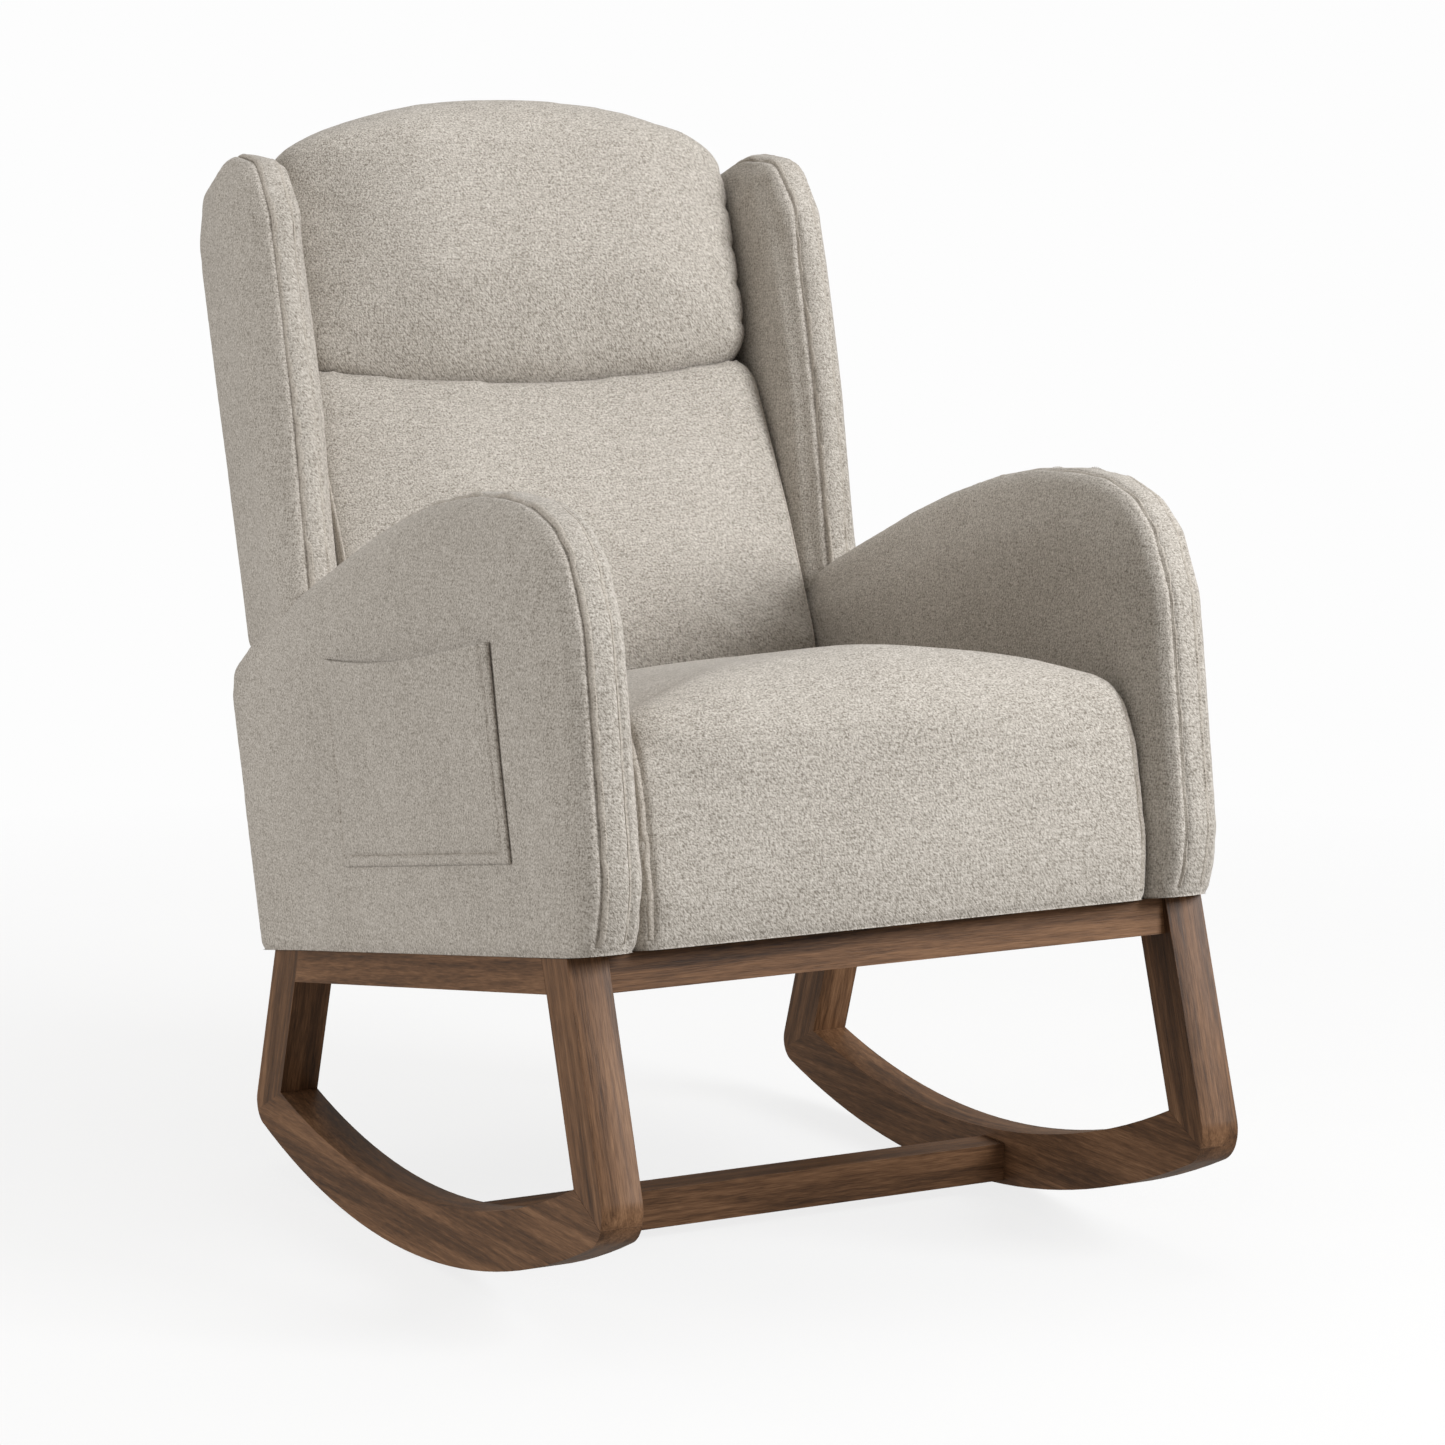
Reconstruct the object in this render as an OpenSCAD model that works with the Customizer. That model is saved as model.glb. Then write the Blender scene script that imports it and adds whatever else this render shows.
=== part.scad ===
// Upholstered wing-back rocking chair with side pockets, on a bent wooden runner base.
// The chair faces -Y and +Z is up. Left and right are the sitter's, so the left side is at +X.
// The whole chair rocks as one body on its two runners. Nothing inside it moves.

/* [Runners and legs] */
// Width of the wooden base over the outer faces of the side frames
base_w = 640; // [600:1:700]
// Thickness of every side frame member, across the chair
frame_t = 39; // [34:1:46]
// Radius of the rolling edge of a runner
runner_r = 1035; // [900:5:1200]
// Depth of a runner, from rolling edge to upper edge
runner_depth = 53; // [44:1:60]
// Width of a front leg in side view
front_leg_w = 49; // [42:1:58]
// Width of a rear leg in side view
rear_leg_w = 55; // [46:1:62]
// Lean of the front legs from vertical, feet forwards
front_splay = 17.8; // [14:0.1:21]
// Lean of the rear legs from vertical, feet rearwards
rear_splay = 19.5; // [16:0.1:22]
// Radius on the outer corner where a rear leg meets its runner
rear_corner_r = 22; // [14:1:30]
// Radius on the outer corner where a front leg meets its runner
front_corner_r = 34; // [20:1:38]

/* [Rails] */
// Slope of the side rails and of the seat, rear end lower
rail_slope = 9.3; // [7:0.1:11]
// Height of the base at the top of the front legs
front_h = 336; // [320:1:350]
// Length of the base along the sloping rails
rail_l = 666; // [640:1:690]
// Depth of a side rail
side_rail_d = 31; // [28:1:40]
// Depth of the front and rear rails
cross_rail_d = 33; // [31:1:52]
// Thickness of the front and rear rails
cross_rail_t = 26; // [22:1:30]
// Height of the stretcher between the runners
stretcher_h = 37; // [28:1:42]
// Depth of the stretcher, front to rear
stretcher_d = 36; // [30:1:52]

/* [Seat] */
// Half width of the seat cushion
seat_half_w = 257; // [240:1:258]
// Height of the seat crown above the base
seat_crown = 244; // [230:1:250]
// Height of the seat's side seam above the base
seat_seam_h = 178; // [165:1:190]
// How far the seat front stands ahead of the legs' top
seat_front = 27; // [20:1:32]
// Height of the seat frame boards
seat_board_h = 66; // [56:1:72]
// Thickness of boards and panels inside the upholstery
board_t = 18; // [15:1:20]

/* [Arms] */
// Thickness of an arm
arm_t = 64; // [60:1:66]
// Distance from the middle of the chair to the middle of an arm
arm_x = 291; // [289:1:293]
// Height of the highest point of an arm
arm_h = 713; // [700:1:725]
// Distance between an arm's or wing's two welts
band_w = 27; // [22:1:32]

/* [Back and wings] */
// Lean of the outside back from vertical
recline = 17.3; // [15:0.1:19]
// Thickness of a wing
wing_t = 58; // [56:1:60]
// Distance from the middle of the chair to the middle of a wing's front
wing_x = 288; // [287:1:289]
// Length of the wings along the outside back
wing_l = 771; // [755:1:785]
// Length of the head cushion's crown along the outside back
head_l = 820; // [805:1:830]
// Height of the seam between head and back cushions along the outside back
head_seam = 536; // [520:1:550]
// Thickness of the outside back panel
outback_t = 5; // [4:1:12]

/* [Pockets] */
// Width of a side pocket at its bottom
pocket_w = 370; // [300:5:380]
// Height of a side pocket
pocket_h = 190; // [160:5:200]
// How far a pocket stands off the arm
pocket_gap = 6; // [5:1:12]
// Thickness of the doubled pocket cloth
pocket_t = 1.5; // [1.5:0.5:3]

/* [Hidden] */
$fa = 4;
$fs = 1;

wood = "#6e5038";
ply = "#d8bd92";
cloth = "#b9b2a8";
cloth_dark = "#a9a196";
steel = "#9a9da0";
black_cloth = "#2b2b2d";

mid_depth = 32.2;       // middle of the chair's depth, behind the point where the runners touch the floor
clear = 0.4;            // gap between a pad and what is inside or beside it
half_w = base_w / 2;
inner_x = half_w - frame_t;
runner_in_r = runner_r - runner_depth;
axis_pt = [0, runner_r];
big = 2000;

// Side view coordinates are [Y, Z], with Y = 0 where the runners touch the floor.
rail_o = [-395, front_h];                                  // top front corner of the front legs
rail_s = [cos(rail_slope), -sin(rail_slope)];              // along the rails, rearwards
rail_n = [sin(rail_slope), cos(rail_slope)];               // up from the rails
back_o = rail_o + 689 * rail_s;                            // foot of the outside back
back_u = [sin(recline), cos(recline)];                     // up the back
back_v = [-cos(recline), sin(recline)];                    // forwards from the outside back

function rail_pt(s, t) = rail_o + s * rail_s + t * rail_n;
function back_pt(v, u) = back_o + v * back_v + u * back_u;
function cross2(a, b) = a[0] * b[1] - a[1] * b[0];
// Where the line through p along d meets the line through q along e
function meet(p, d, q, e) = p + d * (cross2(q - p, e) / cross2(d, e));
// Lower point where the line through p along unit d meets the circle of radius r about the runner axis
function down_to(p, d, r) =
    let (w = p - axis_pt, b = w * d, c = w * w - r * r) p + d * (-b + sqrt(b * b - c));
function bezier(p, t) =
    p[0] * pow(1 - t, 3) + p[1] * 3 * t * pow(1 - t, 2) + p[2] * 3 * t * t * (1 - t) + p[3] * pow(t, 3);
function bezier_dir(p, t) =
    let (d = (p[1] - p[0]) * pow(1 - t, 2) + (p[2] - p[1]) * 2 * t * (1 - t) + (p[3] - p[2]) * t * t)
    d / norm(d);
// A point of the curve moved inwards, to the right of its direction, by r
function bezier_in(p, t, r) = let (d = bezier_dir(p, t)) bezier(p, t) + r * [d[1], -d[0]];

// Leg edges
front_d = [-sin(front_splay), -cos(front_splay)];
front_n = [cos(front_splay), -sin(front_splay)];
rear_d = [sin(rear_splay), -cos(rear_splay)];
rear_n = [-cos(rear_splay), -sin(rear_splay)];
front_top = rail_o;
rear_top = rail_pt(rail_l, 0);
front_in = front_top + front_leg_w * front_n;
rear_in = rear_top + rear_leg_w * rear_n;
front_foot = down_to(front_top, front_d, runner_r);
rear_foot = down_to(rear_top, rear_d, runner_r);
front_heel = down_to(front_in, front_d, runner_in_r);
rear_heel = down_to(rear_in, rear_d, runner_in_r);
front_fillet = down_to(front_top + front_corner_r * front_n, front_d, runner_r - front_corner_r);
rear_fillet = down_to(rear_top + rear_corner_r * rear_n, rear_d, runner_r - rear_corner_r);
front_in_top = meet(front_in, front_d, rail_o, rail_s);
rear_in_top = meet(rear_in, rear_d, rail_o, rail_s);
front_in_low = meet(front_in, front_d, rail_pt(0, -side_rail_d), rail_s);
rear_in_low = meet(rear_in, rear_d, rail_pt(0, -side_rail_d), rail_s);

// Side view curves of an arm: up and over its front, then along its top to the rear
arm_front = [[-431, 446], [-405, arm_h - 57], [-390, arm_h + 2], [-240, arm_h]];
arm_top = [[-240, arm_h], [-90, arm_h], [66, arm_h - 67], [266, arm_h - 151]];
arm_r = arm_t / 2;
edge_r = 10;            // rounding of the rear edges of arms and wings
wing_r = wing_t / 2;
wing_out_rear = 297;    // outer face of a wing at the rear

bolt_r = 4;
bolt_hole_r = 4.5;
bolt_head_r = 8;
head_h = 5;
dowel_r = 5;
dowel_l = 40;
stretcher_c = [-108.5, 30.5];
seat_board_s = 8;                        // front face of the front seat board along the rails
seat_board_x = seat_half_w - 9;          // outer faces of the seat side boards
post_x = [206, 228];                     // inner and outer faces of a back post
post_v = [outback_t + 4, 100];            // rear and front faces of the back frame
post_u = [72, head_l - 90];              // foot and top of a back post
spring_n = 4;
spring_wire = 4;
strap_n = 6;
strap_w = 50;

module placed() translate([0, -mid_depth, 0]) children();
// Draws a side view outline between two planes across the chair
module across(x0, x1) translate([x0, 0, 0]) rotate([90, 0, 90]) linear_extrude(x1 - x0) children();
module bar(p, r, x0, x1) translate([x0, p[0], p[1]]) rotate([0, 90, 0]) cylinder(r = r, h = x1 - x0);
module on_side(left) if (left) children(); else mirror([1, 0, 0]) children();
// Local frames: along the rails and up the back, with X across the chair
module on_rail() translate([0, rail_o[0], rail_o[1]]) rotate([-rail_slope, 0, 0]) children();
module on_back() translate([0, back_o[0], back_o[1]]) rotate([-recline, 0, 0]) children();
module above_base() across(-big, big)
    polygon([rail_pt(-big, clear), rail_pt(big, clear), rail_pt(big, big), rail_pt(-big, big)]);
module ahead_of_panel() across(-big, big)
    polygon([for (q = [[outback_t + clear, -big], [big, -big], [big, big], [outback_t + clear, big]])
        back_pt(q[0], q[1])]);

/* Wooden base */

// Waste outside the rounded corner of a foot: r is its radius and n points into the leg
module foot_waste(foot, fillet, r, n) difference() {
    across(inner_x - 1, half_w + 1) polygon([
        fillet, fillet + 1.6 * (fillet - axis_pt) / norm(fillet - axis_pt) * r,
        foot + (foot - fillet),
        fillet - 1.6 * r * n]);
    bar(fillet, r, inner_x - 2, half_w + 2);
}
module front_foot_waste() foot_waste(front_foot, front_fillet, front_corner_r, front_n);
module rear_foot_waste() foot_waste(rear_foot, rear_fillet, rear_corner_r, rear_n);

module dowel_pair(p, d, n, grow = 0) {
    for (k = [-1, 1])
        translate([half_w - frame_t / 2, p[0] + (6 + 9 * k) * n[0], p[1] + (6 + 9 * k) * n[1]])
            rotate([atan2(-d[0], d[1]), 0, 0])
                cylinder(r = dowel_r + grow, h = dowel_l + 2 * grow, center = true);
}

// The two dowels that hold an end of the stretcher in its runner
module stretcher_dowels(grow = 0) for (k = [-9, 9])
    translate([inner_x, stretcher_c[0] + k, stretcher_c[1]]) rotate([0, 90, 0])
        cylinder(r = dowel_r + grow, h = dowel_l + 2 * grow, center = true);

// The dowels of one side frame: two at each mitre and two at each end of the side rail
module side_dowels(grow = 0) {
    fm = (front_foot + front_heel) / 2;
    rm = (rear_foot + rear_heel) / 2;
    dowel_pair(fm, front_d, front_n, grow);
    dowel_pair(rm, rear_d, rear_n, grow);
    for (p = [rail_pt(0, 0) + (front_in_top + front_in_low) / 2 - rail_o,
              rail_pt(0, 0) + (rear_in_top + rear_in_low) / 2 - rail_o])
        for (k = [-8, 8])
            translate([half_w - frame_t / 2 + k, p[0], p[1]]) rotate([-rail_slope - 90, 0, 0])
                cylinder(r = dowel_r + grow, h = dowel_l + 2 * grow, center = true);
}

module front_leg(left) color(wood) placed() on_side(left) difference() {
    across(inner_x, half_w) polygon([front_top, front_in_top, front_heel, front_foot]);
    front_foot_waste();
    side_dowels();
}

module rear_leg(left) color(wood) placed() on_side(left) difference() {
    across(inner_x, half_w) polygon([rear_top, rear_in_top, rear_heel, rear_foot]);
    rear_foot_waste();
    side_dowels();
}

module side_rail(left) color(wood) placed() on_side(left) difference() {
    across(inner_x, half_w) polygon([front_in_top, rear_in_top, rear_in_low, front_in_low]);
    side_dowels();
    on_rail() for (s = arm_bolt_s) translate([arm_x + 9, s, 0]) bolt_hole(side_rail_d);
}

module runner(left) color(wood) placed() on_side(left) difference() {
    intersection() {
        difference() {
            bar(axis_pt, runner_r, inner_x, half_w, $fn = 720);
            bar(axis_pt, runner_in_r, inner_x - 1, half_w + 1, $fn = 720);
        }
        across(inner_x - 2, half_w + 2) polygon([front_heel, front_foot, [front_foot[0], -50],
            [rear_foot[0], -50], rear_foot, rear_heel]);
    }
    front_foot_waste();
    rear_foot_waste();
    side_dowels();
    stretcher_dowels();
}

// A clearance hole up through a rail, counterbored from below
module bolt_hole(depth) {
    translate([0, 0, -depth - 1]) cylinder(r = bolt_hole_r, h = depth + 2);
    translate([0, 0, -depth - 1]) cylinder(r = bolt_head_r + 1, h = head_h + 3);
}

// A bolt with a round head, pointing up from its recess in the underside of a rail
module bolt(depth, reach) {
    translate([0, 0, -depth + 1.5]) cylinder(r = bolt_head_r, h = head_h);
    translate([0, 0, -depth + 1.5 + head_h]) cylinder(r = bolt_r, h = depth - 1.5 - head_h + reach);
}

seat_bolt_x = [-170, 170];
arm_bolt_s = [150, 330, 510];
front_rail_s = [5, 5 + cross_rail_t];
rear_rail_s = [rail_l - 9 - cross_rail_t, rail_l - 9];
seat_bolt_s = [front_rail_s[0] + cross_rail_t / 2 + 1, rear_rail_s[0] + cross_rail_t / 2];

module cross_rail(s, bolt_s, lean) color(wood) placed() difference() {
    across(-inner_x, inner_x) polygon([rail_pt(s[0], 0), rail_pt(s[1], 0),
        rail_pt(s[1] + lean, -cross_rail_d), rail_pt(s[0] + lean, -cross_rail_d)]);
    on_rail() for (x = seat_bolt_x) translate([x, bolt_s, 0]) bolt_hole(cross_rail_d);
}
module front_rail() cross_rail(front_rail_s, seat_bolt_s[0], 0);
module rear_rail() cross_rail(rear_rail_s, seat_bolt_s[1], 0);

module runner_stretcher() color(wood) placed() difference() {
    across(-inner_x, inner_x) translate(stretcher_c) square([stretcher_d, stretcher_h], center = true);
    for (left = [true, false]) on_side(left) stretcher_dowels();
}

module corner_blocks() color(ply) placed() on_rail() for (k = [0, 1]) mirror([k, 0, 0])
    for (s = [front_rail_s[1], rear_rail_s[0]]) translate([inner_x, s, -side_rail_d])
        linear_extrude(side_rail_d - 2)
            polygon([[0, 0], [-60, 0], [0, s < 300 ? 60 : -60]]);

module frame_dowels() color(ply) placed() for (left = [true, false]) on_side(left) {
    side_dowels(-0.1);
    stretcher_dowels(-0.1);
}

module seat_bolts() color(steel) placed() on_rail() for (s = seat_bolt_s) for (x = seat_bolt_x)
    translate([x, s, 0]) bolt(cross_rail_d, 40);

module arm_bolts() color(steel) placed() on_rail() for (k = [-1, 1]) for (s = arm_bolt_s)
    translate([k * (arm_x + 9), s, 0]) bolt(side_rail_d, 40);

/* Seat */

module seat_board(s0, s1) color(ply) placed() on_rail() difference() {
    translate([-seat_board_x, s0, 0]) cube([2 * seat_board_x, s1 - s0, seat_board_h]);
    for (s = seat_bolt_s) for (x = seat_bolt_x) translate([x, s, -1]) cylinder(r = bolt_r, h = 42);
}
front_board_s = [seat_board_s, seat_board_s + 2 * board_t - 4];
rear_board_s = [rear_rail_s[0] - 4, rear_rail_s[0] + cross_rail_t];
module seat_front_board() seat_board(front_board_s[0], front_board_s[1]);
module seat_rear_board() seat_board(rear_board_s[0], rear_board_s[1]);

module seat_side_boards() color(ply) placed() on_rail() difference() {
    for (k = [0, 1]) mirror([k, 0, 0]) translate([seat_board_x - board_t, front_board_s[1], 0])
        cube([board_t, rear_board_s[0] - front_board_s[1], seat_board_h]);
    body_bolt_rods(bolt_r);
}

// Spacers and bolts fix the arm panels to the seat frame
arm_spacer_s = [100, 300, 500];
arm_spacer = [arm_x - seat_board_x, 60, 46];
module arm_spacer_blocks(grow) for (k = [0, 1]) mirror([k, 0, 0]) for (s = arm_spacer_s)
    translate([seat_board_x - grow, s - arm_spacer[1] / 2 - grow, 8 - grow])
        cube(arm_spacer + 2 * grow * [1, 1, 1]);
module body_bolt_rods(r) for (k = [0, 1]) mirror([k, 0, 0]) for (s = arm_spacer_s)
    translate([seat_board_x - board_t - 1, s, 31]) rotate([0, 90, 0])
        cylinder(r = r, h = arm_spacer[0] + 2 * board_t - 1);
module arm_spacers() color(ply) placed() on_rail() difference() {
    arm_spacer_blocks(0);
    body_bolt_rods(bolt_r);
}
module body_bolts() color(steel) placed() on_rail() {
    body_bolt_rods(bolt_r);
    for (k = [0, 1]) mirror([k, 0, 0]) for (s = arm_spacer_s)
        translate([seat_board_x - board_t - head_h, s, 31]) rotate([0, 90, 0])
            cylinder(r = bolt_head_r, h = head_h);
}

// One flat zigzag spring wire: straight runs joined by half rings
spring_pitch = 32;
spring_half = 20;
module zigzag(n) for (i = [0:n - 1]) {
    translate([-spring_half, i * spring_pitch, 0]) rotate([0, 90, 0])
        cylinder(r = spring_wire / 2, h = 2 * spring_half, $fn = 16);
    if (i < n - 1) translate([i % 2 == 0 ? spring_half : -spring_half, (i + 0.5) * spring_pitch, 0])
        rotate([0, 0, i % 2 == 0 ? -90 : 90]) rotate_extrude(angle = 180, $fn = 32)
            translate([spring_pitch / 2, 0]) circle(r = spring_wire / 2, $fn = 16);
}
spring_runs = floor((rear_board_s[0] - front_board_s[1] + 12) / spring_pitch);
spring_s0 = (front_board_s[1] + rear_board_s[0] - (spring_runs - 1) * spring_pitch) / 2;
spring_h = seat_board_h + spring_wire / 2 + 1.2;
function spring_x(i) = (i - (spring_n - 1) / 2) * 112;

module seat_springs() color(steel) placed() on_rail() for (i = [0:spring_n - 1])
    translate([spring_x(i), spring_s0, spring_h]) zigzag(spring_runs);

// Clips screwed on the boards hold both ends of each spring
module spring_clips() color(steel) placed() on_rail() for (i = [0:spring_n - 1])
    for (s = [spring_s0, spring_s0 + (spring_runs - 1) * spring_pitch])
        translate([spring_x(i), s, spring_h]) difference() {
            translate([-12, s < 300 ? -18 : -4, -spring_wire / 2 - 1.2])
                cube([24, 22, spring_wire + 2.4]);
            rotate([0, 90, 0]) cylinder(r = spring_wire / 2 + 0.05, h = 60, center = true, $fn = 16);
        }

// The outer shape of the whole seat: its top cushion, front apron and side pads
module seat_solid() intersection() {
    on_rail() hull() {
        for (k = [-1, 1]) {
            // welted side edges, then the front edge, then the crown
            for (q = [[20, 6, 0], [20, 20 - seat_front, 44], [20, 24 - seat_front, seat_seam_h - 38],
                      [40, 44 - seat_front, seat_seam_h - 8], [40, 640, seat_seam_h - 8]])
                seat_ball(k * (seat_half_w - q[0]), q[1], q[2], q[0]);
            for (s = [60 - seat_front, 600]) seat_ball(k * 157, s, seat_crown - 76, 60);
        }
        for (s = [62 - seat_front, 600]) seat_ball(0, s, seat_crown - 60, 60);
    }
    above_base();
    across(-big, big) polygon([for (q = [[203, -big], [big, -big], [big, big], [203, big]])
        back_pt(q[0], q[1])]);
}
module seat_ball(x, s, t, r) translate([x, s, t]) sphere(r = r, $fn = 28);

deck_h = seat_board_h + 9;               // underside of the top cushion, above the springs
apron_s = front_board_s[0] - clear;      // rear of the front apron
module seat_cushion() color(cloth) placed() intersection() {
    seat_solid();
    on_rail() translate([-big, -big, deck_h]) cube(2 * big);
}
module seat_apron() color(cloth) placed() intersection() {
    seat_solid();
    on_rail() translate([-big, -big, 0]) cube([2 * big, big + apron_s, deck_h - clear]);
}
module seat_side_pads() color(cloth) placed() difference() {
    intersection() {
        seat_solid();
        on_rail() for (k = [0, 1]) mirror([k, 0, 0]) translate([seat_board_x + clear, apron_s + clear, 0])
            cube([50, big, deck_h - clear]);
    }
    on_rail() arm_spacer_blocks(clear);
}

module dust_cover() color(black_cloth) placed() on_rail()
    translate([-seat_board_x + board_t + 1, front_board_s[1] + 1, 2])
        cube([2 * (seat_board_x - board_t - 1), rear_board_s[0] - front_board_s[1] - 2, 1.5]);

/* Arms */

// The outer shape of an arm: a slab with a fully rounded front and top
module arm_solid() intersection() {
    hull() {
        for (p = [[-384, 348], [-397, 372], [-402, 402]]) arm_ball(p);
        for (t = [0.35, 0.55, 0.7, 0.85, 1]) arm_ball(bezier_in(arm_front, t, arm_r));
        for (t = [0.15, 0.3, 0.45, 0.6, 0.8, 1]) arm_ball(bezier_in(arm_top, t, arm_r));
        for (k = [-1, 1]) for (q = [[0, -30], [0, 258], [8, 272], [50, 288]])
            arm_edge(back_pt(q[0] + outback_t + clear + edge_r, q[1]), k);
    }
    above_base();
    ahead_of_panel();
}
module arm_ball(p) translate([arm_x, p[0], p[1]]) sphere(r = arm_r, $fn = 28);
module arm_edge(p, k) translate([arm_x + k * (arm_r - edge_r), p[0], p[1]]) sphere(r = edge_r, $fn = 20);

// The wooden panel inside an arm, standing on the side rail
panel_in = 40;
arm_panel_pts = concat(
    [rail_pt(40, 0), [-431 + panel_in + 6, 400]],
    [for (t = [0.3, 0.6, 0.8]) bezier_in(arm_front, t, panel_in)],
    [for (t = [0, 0.4, 0.8]) bezier_in(arm_top, t, panel_in)],
    [back_pt(90, 250), back_pt(64, 225), rail_pt(622, 0)]);

module arm_panel(left) color(ply) placed() on_side(left) difference() {
    across(arm_x, arm_x + board_t) polygon(arm_panel_pts);
    on_rail() for (s = arm_bolt_s) translate([arm_x + 9, s, -1]) cylinder(r = bolt_r, h = 42);
    on_rail() body_bolt_rods(bolt_r);
}

module arm_pad(left) color(cloth) placed() on_side(left) difference() {
    arm_solid();
    across(arm_x - clear, arm_x + board_t + clear) offset(delta = clear) polygon(arm_panel_pts);
    on_rail() arm_spacer_blocks(clear);
}

// Two welts side by side, along a front curve and on along a top curve, from the points low upwards
module welt_band(low, front, top, x, w) for (k = [-1, 1]) {
    out = concat([for (q = low) q - [1.5, 0]], [for (t = [0.1:0.1:1]) bezier_in(front, t, -1.5)],
        [for (t = [0.1:0.1:1]) bezier_in(top, t, -1.5)]);
    inn = concat([for (t = [1:-0.1:0.1]) bezier_in(top, t, 3)],
        [for (t = [1:-0.1:0.1]) bezier_in(front, t, 3)],
        [for (i = [len(low) - 1:-1:0]) low[i] + [3, 0]]);
    across(x + k * band_w / 2 - w / 2, x + k * band_w / 2 + w / 2) polygon(concat(out, inn));
}
module arm_welts(left) color(cloth_dark) placed() on_side(left) difference() {
    intersection() {
        welt_band([[-410, 330], [-416, 346], [-429, 368], [-434, 396]], arm_front, arm_top, arm_x, 4);
        above_base();
    }
    arm_solid();
}

/* Pockets */

pocket_o = [80, 81];                 // lower front corner, along and above the rails
pocket_lean = 10;                    // how far its sides lean rearwards
module pocket_outline(in, up) polygon([
    pocket_o + [in, in], pocket_o + [pocket_w - in, in],
    pocket_o + [pocket_w + pocket_lean - in, pocket_h + up + 5],
    pocket_o + [pocket_w / 2 + pocket_lean, pocket_h + up - 6],
    pocket_o + [pocket_lean + in, pocket_h + up]]);

module pocket(left) color(cloth_dark) placed() on_side(left) {
    x0 = arm_x + arm_r + 0.1;
    on_rail() translate([x0, 0, 0]) rotate([90, 0, 90]) {
        // the face, then a turned edge along each sewn side
        translate([0, 0, pocket_gap]) linear_extrude(pocket_t) pocket_outline(0, 0);
        linear_extrude(pocket_gap - 0.1) difference() {
            pocket_outline(0, 0);
            pocket_outline(pocket_t, 10);
            for (s = [0, pocket_w]) translate(pocket_o + [s, 0]) circle(r = 3);
        }
    }
}

/* Back */

// Half of a plan outline on the back is mirrored to the other side
module both_sides() for (k = [0, 1]) mirror([k, 0, 0]) children();
// Draws an outline in [X, up the back] between two distances from the outside back
module on_back_face(v0, v1) on_back() rotate([90, 0, 0]) translate([0, 0, v0])
    linear_extrude(v1 - v0) children();

crown_r = 640;
module crown_outline(w, top) intersection() {
    translate([-w, -50]) square([2 * w, top + 60]);
    translate([0, top - crown_r]) circle(r = crown_r, $fn = 180);
}

module back_posts() color(ply) placed() both_sides() on_back_face(post_v[0], post_v[1])
    translate([post_x[0], post_u[0]]) square([post_x[1] - post_x[0], post_u[1] - post_u[0]]);

module back_cross_rail(u0, u1) color(ply) placed() on_back_face(post_v[0], post_v[0] + board_t)
    translate([-post_x[0], u0]) square([2 * post_x[0], u1 - u0]);
module back_bottom_rail() back_cross_rail(90, 160);
module back_mid_rail() back_cross_rail(440, 490);
module back_top_rail() color(ply) placed() on_back_face(post_v[0], post_v[1]) difference() {
    crown_outline(post_x[1], head_l - 28);
    translate([0, -board_t]) crown_outline(post_x[1] + 1, head_l - 28);
    both_sides() translate([post_x[0] - clear, 0]) square([60, post_u[1]]);
}

// Elastic straps behind the back cushions
module back_webbing() color(black_cloth) placed() for (i = [0:strap_n - 1])
    on_back_face(post_v[1] + 0.1, post_v[1] + 2.1)
        translate([-post_x[1], 190 + i * 84]) square([2 * post_x[1], strap_w]);

cushion_v = post_v[1] + 3;
cushion_half = 254;
module ahead_of_frame() across(-big, big)
    polygon([for (q = [[cushion_v, -big], [big, -big], [big, big], [cushion_v, big]]) back_pt(q[0], q[1])]);
module back_ball(x, v, u, r) on_back() translate([x, -v, u]) sphere(r = r, $fn = 28);

// The seam between the back cushions sags towards the middle; this is all that lies above it
seam_r = 1100;
module above_seam() on_back_face(-big, big) polygon(concat([[-300, big], [300, big]],
    [for (x = [300:-50:-300]) [x, head_seam - 9 + x * x / 2 / seam_r]]));

module back_cushion() color(cloth) placed() {
    r = 24;
    top = head_seam + 18 - r;
    difference() {
        intersection() {
            hull() {
                for (k = [-1, 1]) for (q = [[108, top], [138, 380], [154, 250], [140, 190]])
                    back_ball(k * (cushion_half - r), q[0], q[1], r);
                for (k = [-1, 1]) for (q = [[120, top], [160, 370], [176, 265], [150, 190]])
                    back_ball(k * 120, q[0], q[1], r);
                for (k = [-1, 1]) for (u = [190, top]) back_ball(k * (cushion_half - r), post_v[1] - 2, u, r);
            }
            ahead_of_frame();
        }
        above_seam();
    }
}

module head_cushion() color(cloth) placed() {
    r = 30;
    low = head_seam + r;
    intersection() {
        hull() {
            for (k = [-1, 1]) for (q = [[222, 104, low + 16], [213, 114, 640], [221, 107, head_l - 66],
                    [205, 60, head_l - 72], [188, 122, head_l - 48], [120, 118, low - 2], [120, 146, 640],
                    [124, 138, head_l - 37], [224, 60, low + 16]])
                back_ball(k * q[0], q[1], q[2], r);
            back_ball(0, 138, head_l - 25, r);
            back_ball(0, 118, low - 8, r);
        }
        ahead_of_frame();
    }
}

module outside_back() color(cloth_dark) placed() intersection() {
    on_back_face(0.5, outback_t) union() {
        crown_outline(236, head_l - 14);
        hull() for (k = [-1, 1]) {
            translate([k * (wing_out_rear - 60), wing_l - 54]) circle(r = 50, $fn = 64);
            translate([k * (wing_out_rear - 15), 10]) circle(r = 5, $fn = 32);
        }
        hull() for (k = [-1, 1]) for (u = [-40, 262])
            translate([k * (arm_x + arm_r - 23), u]) circle(r = 12, $fn = 32);
    }
    above_base();
}

/* Wings */

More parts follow.
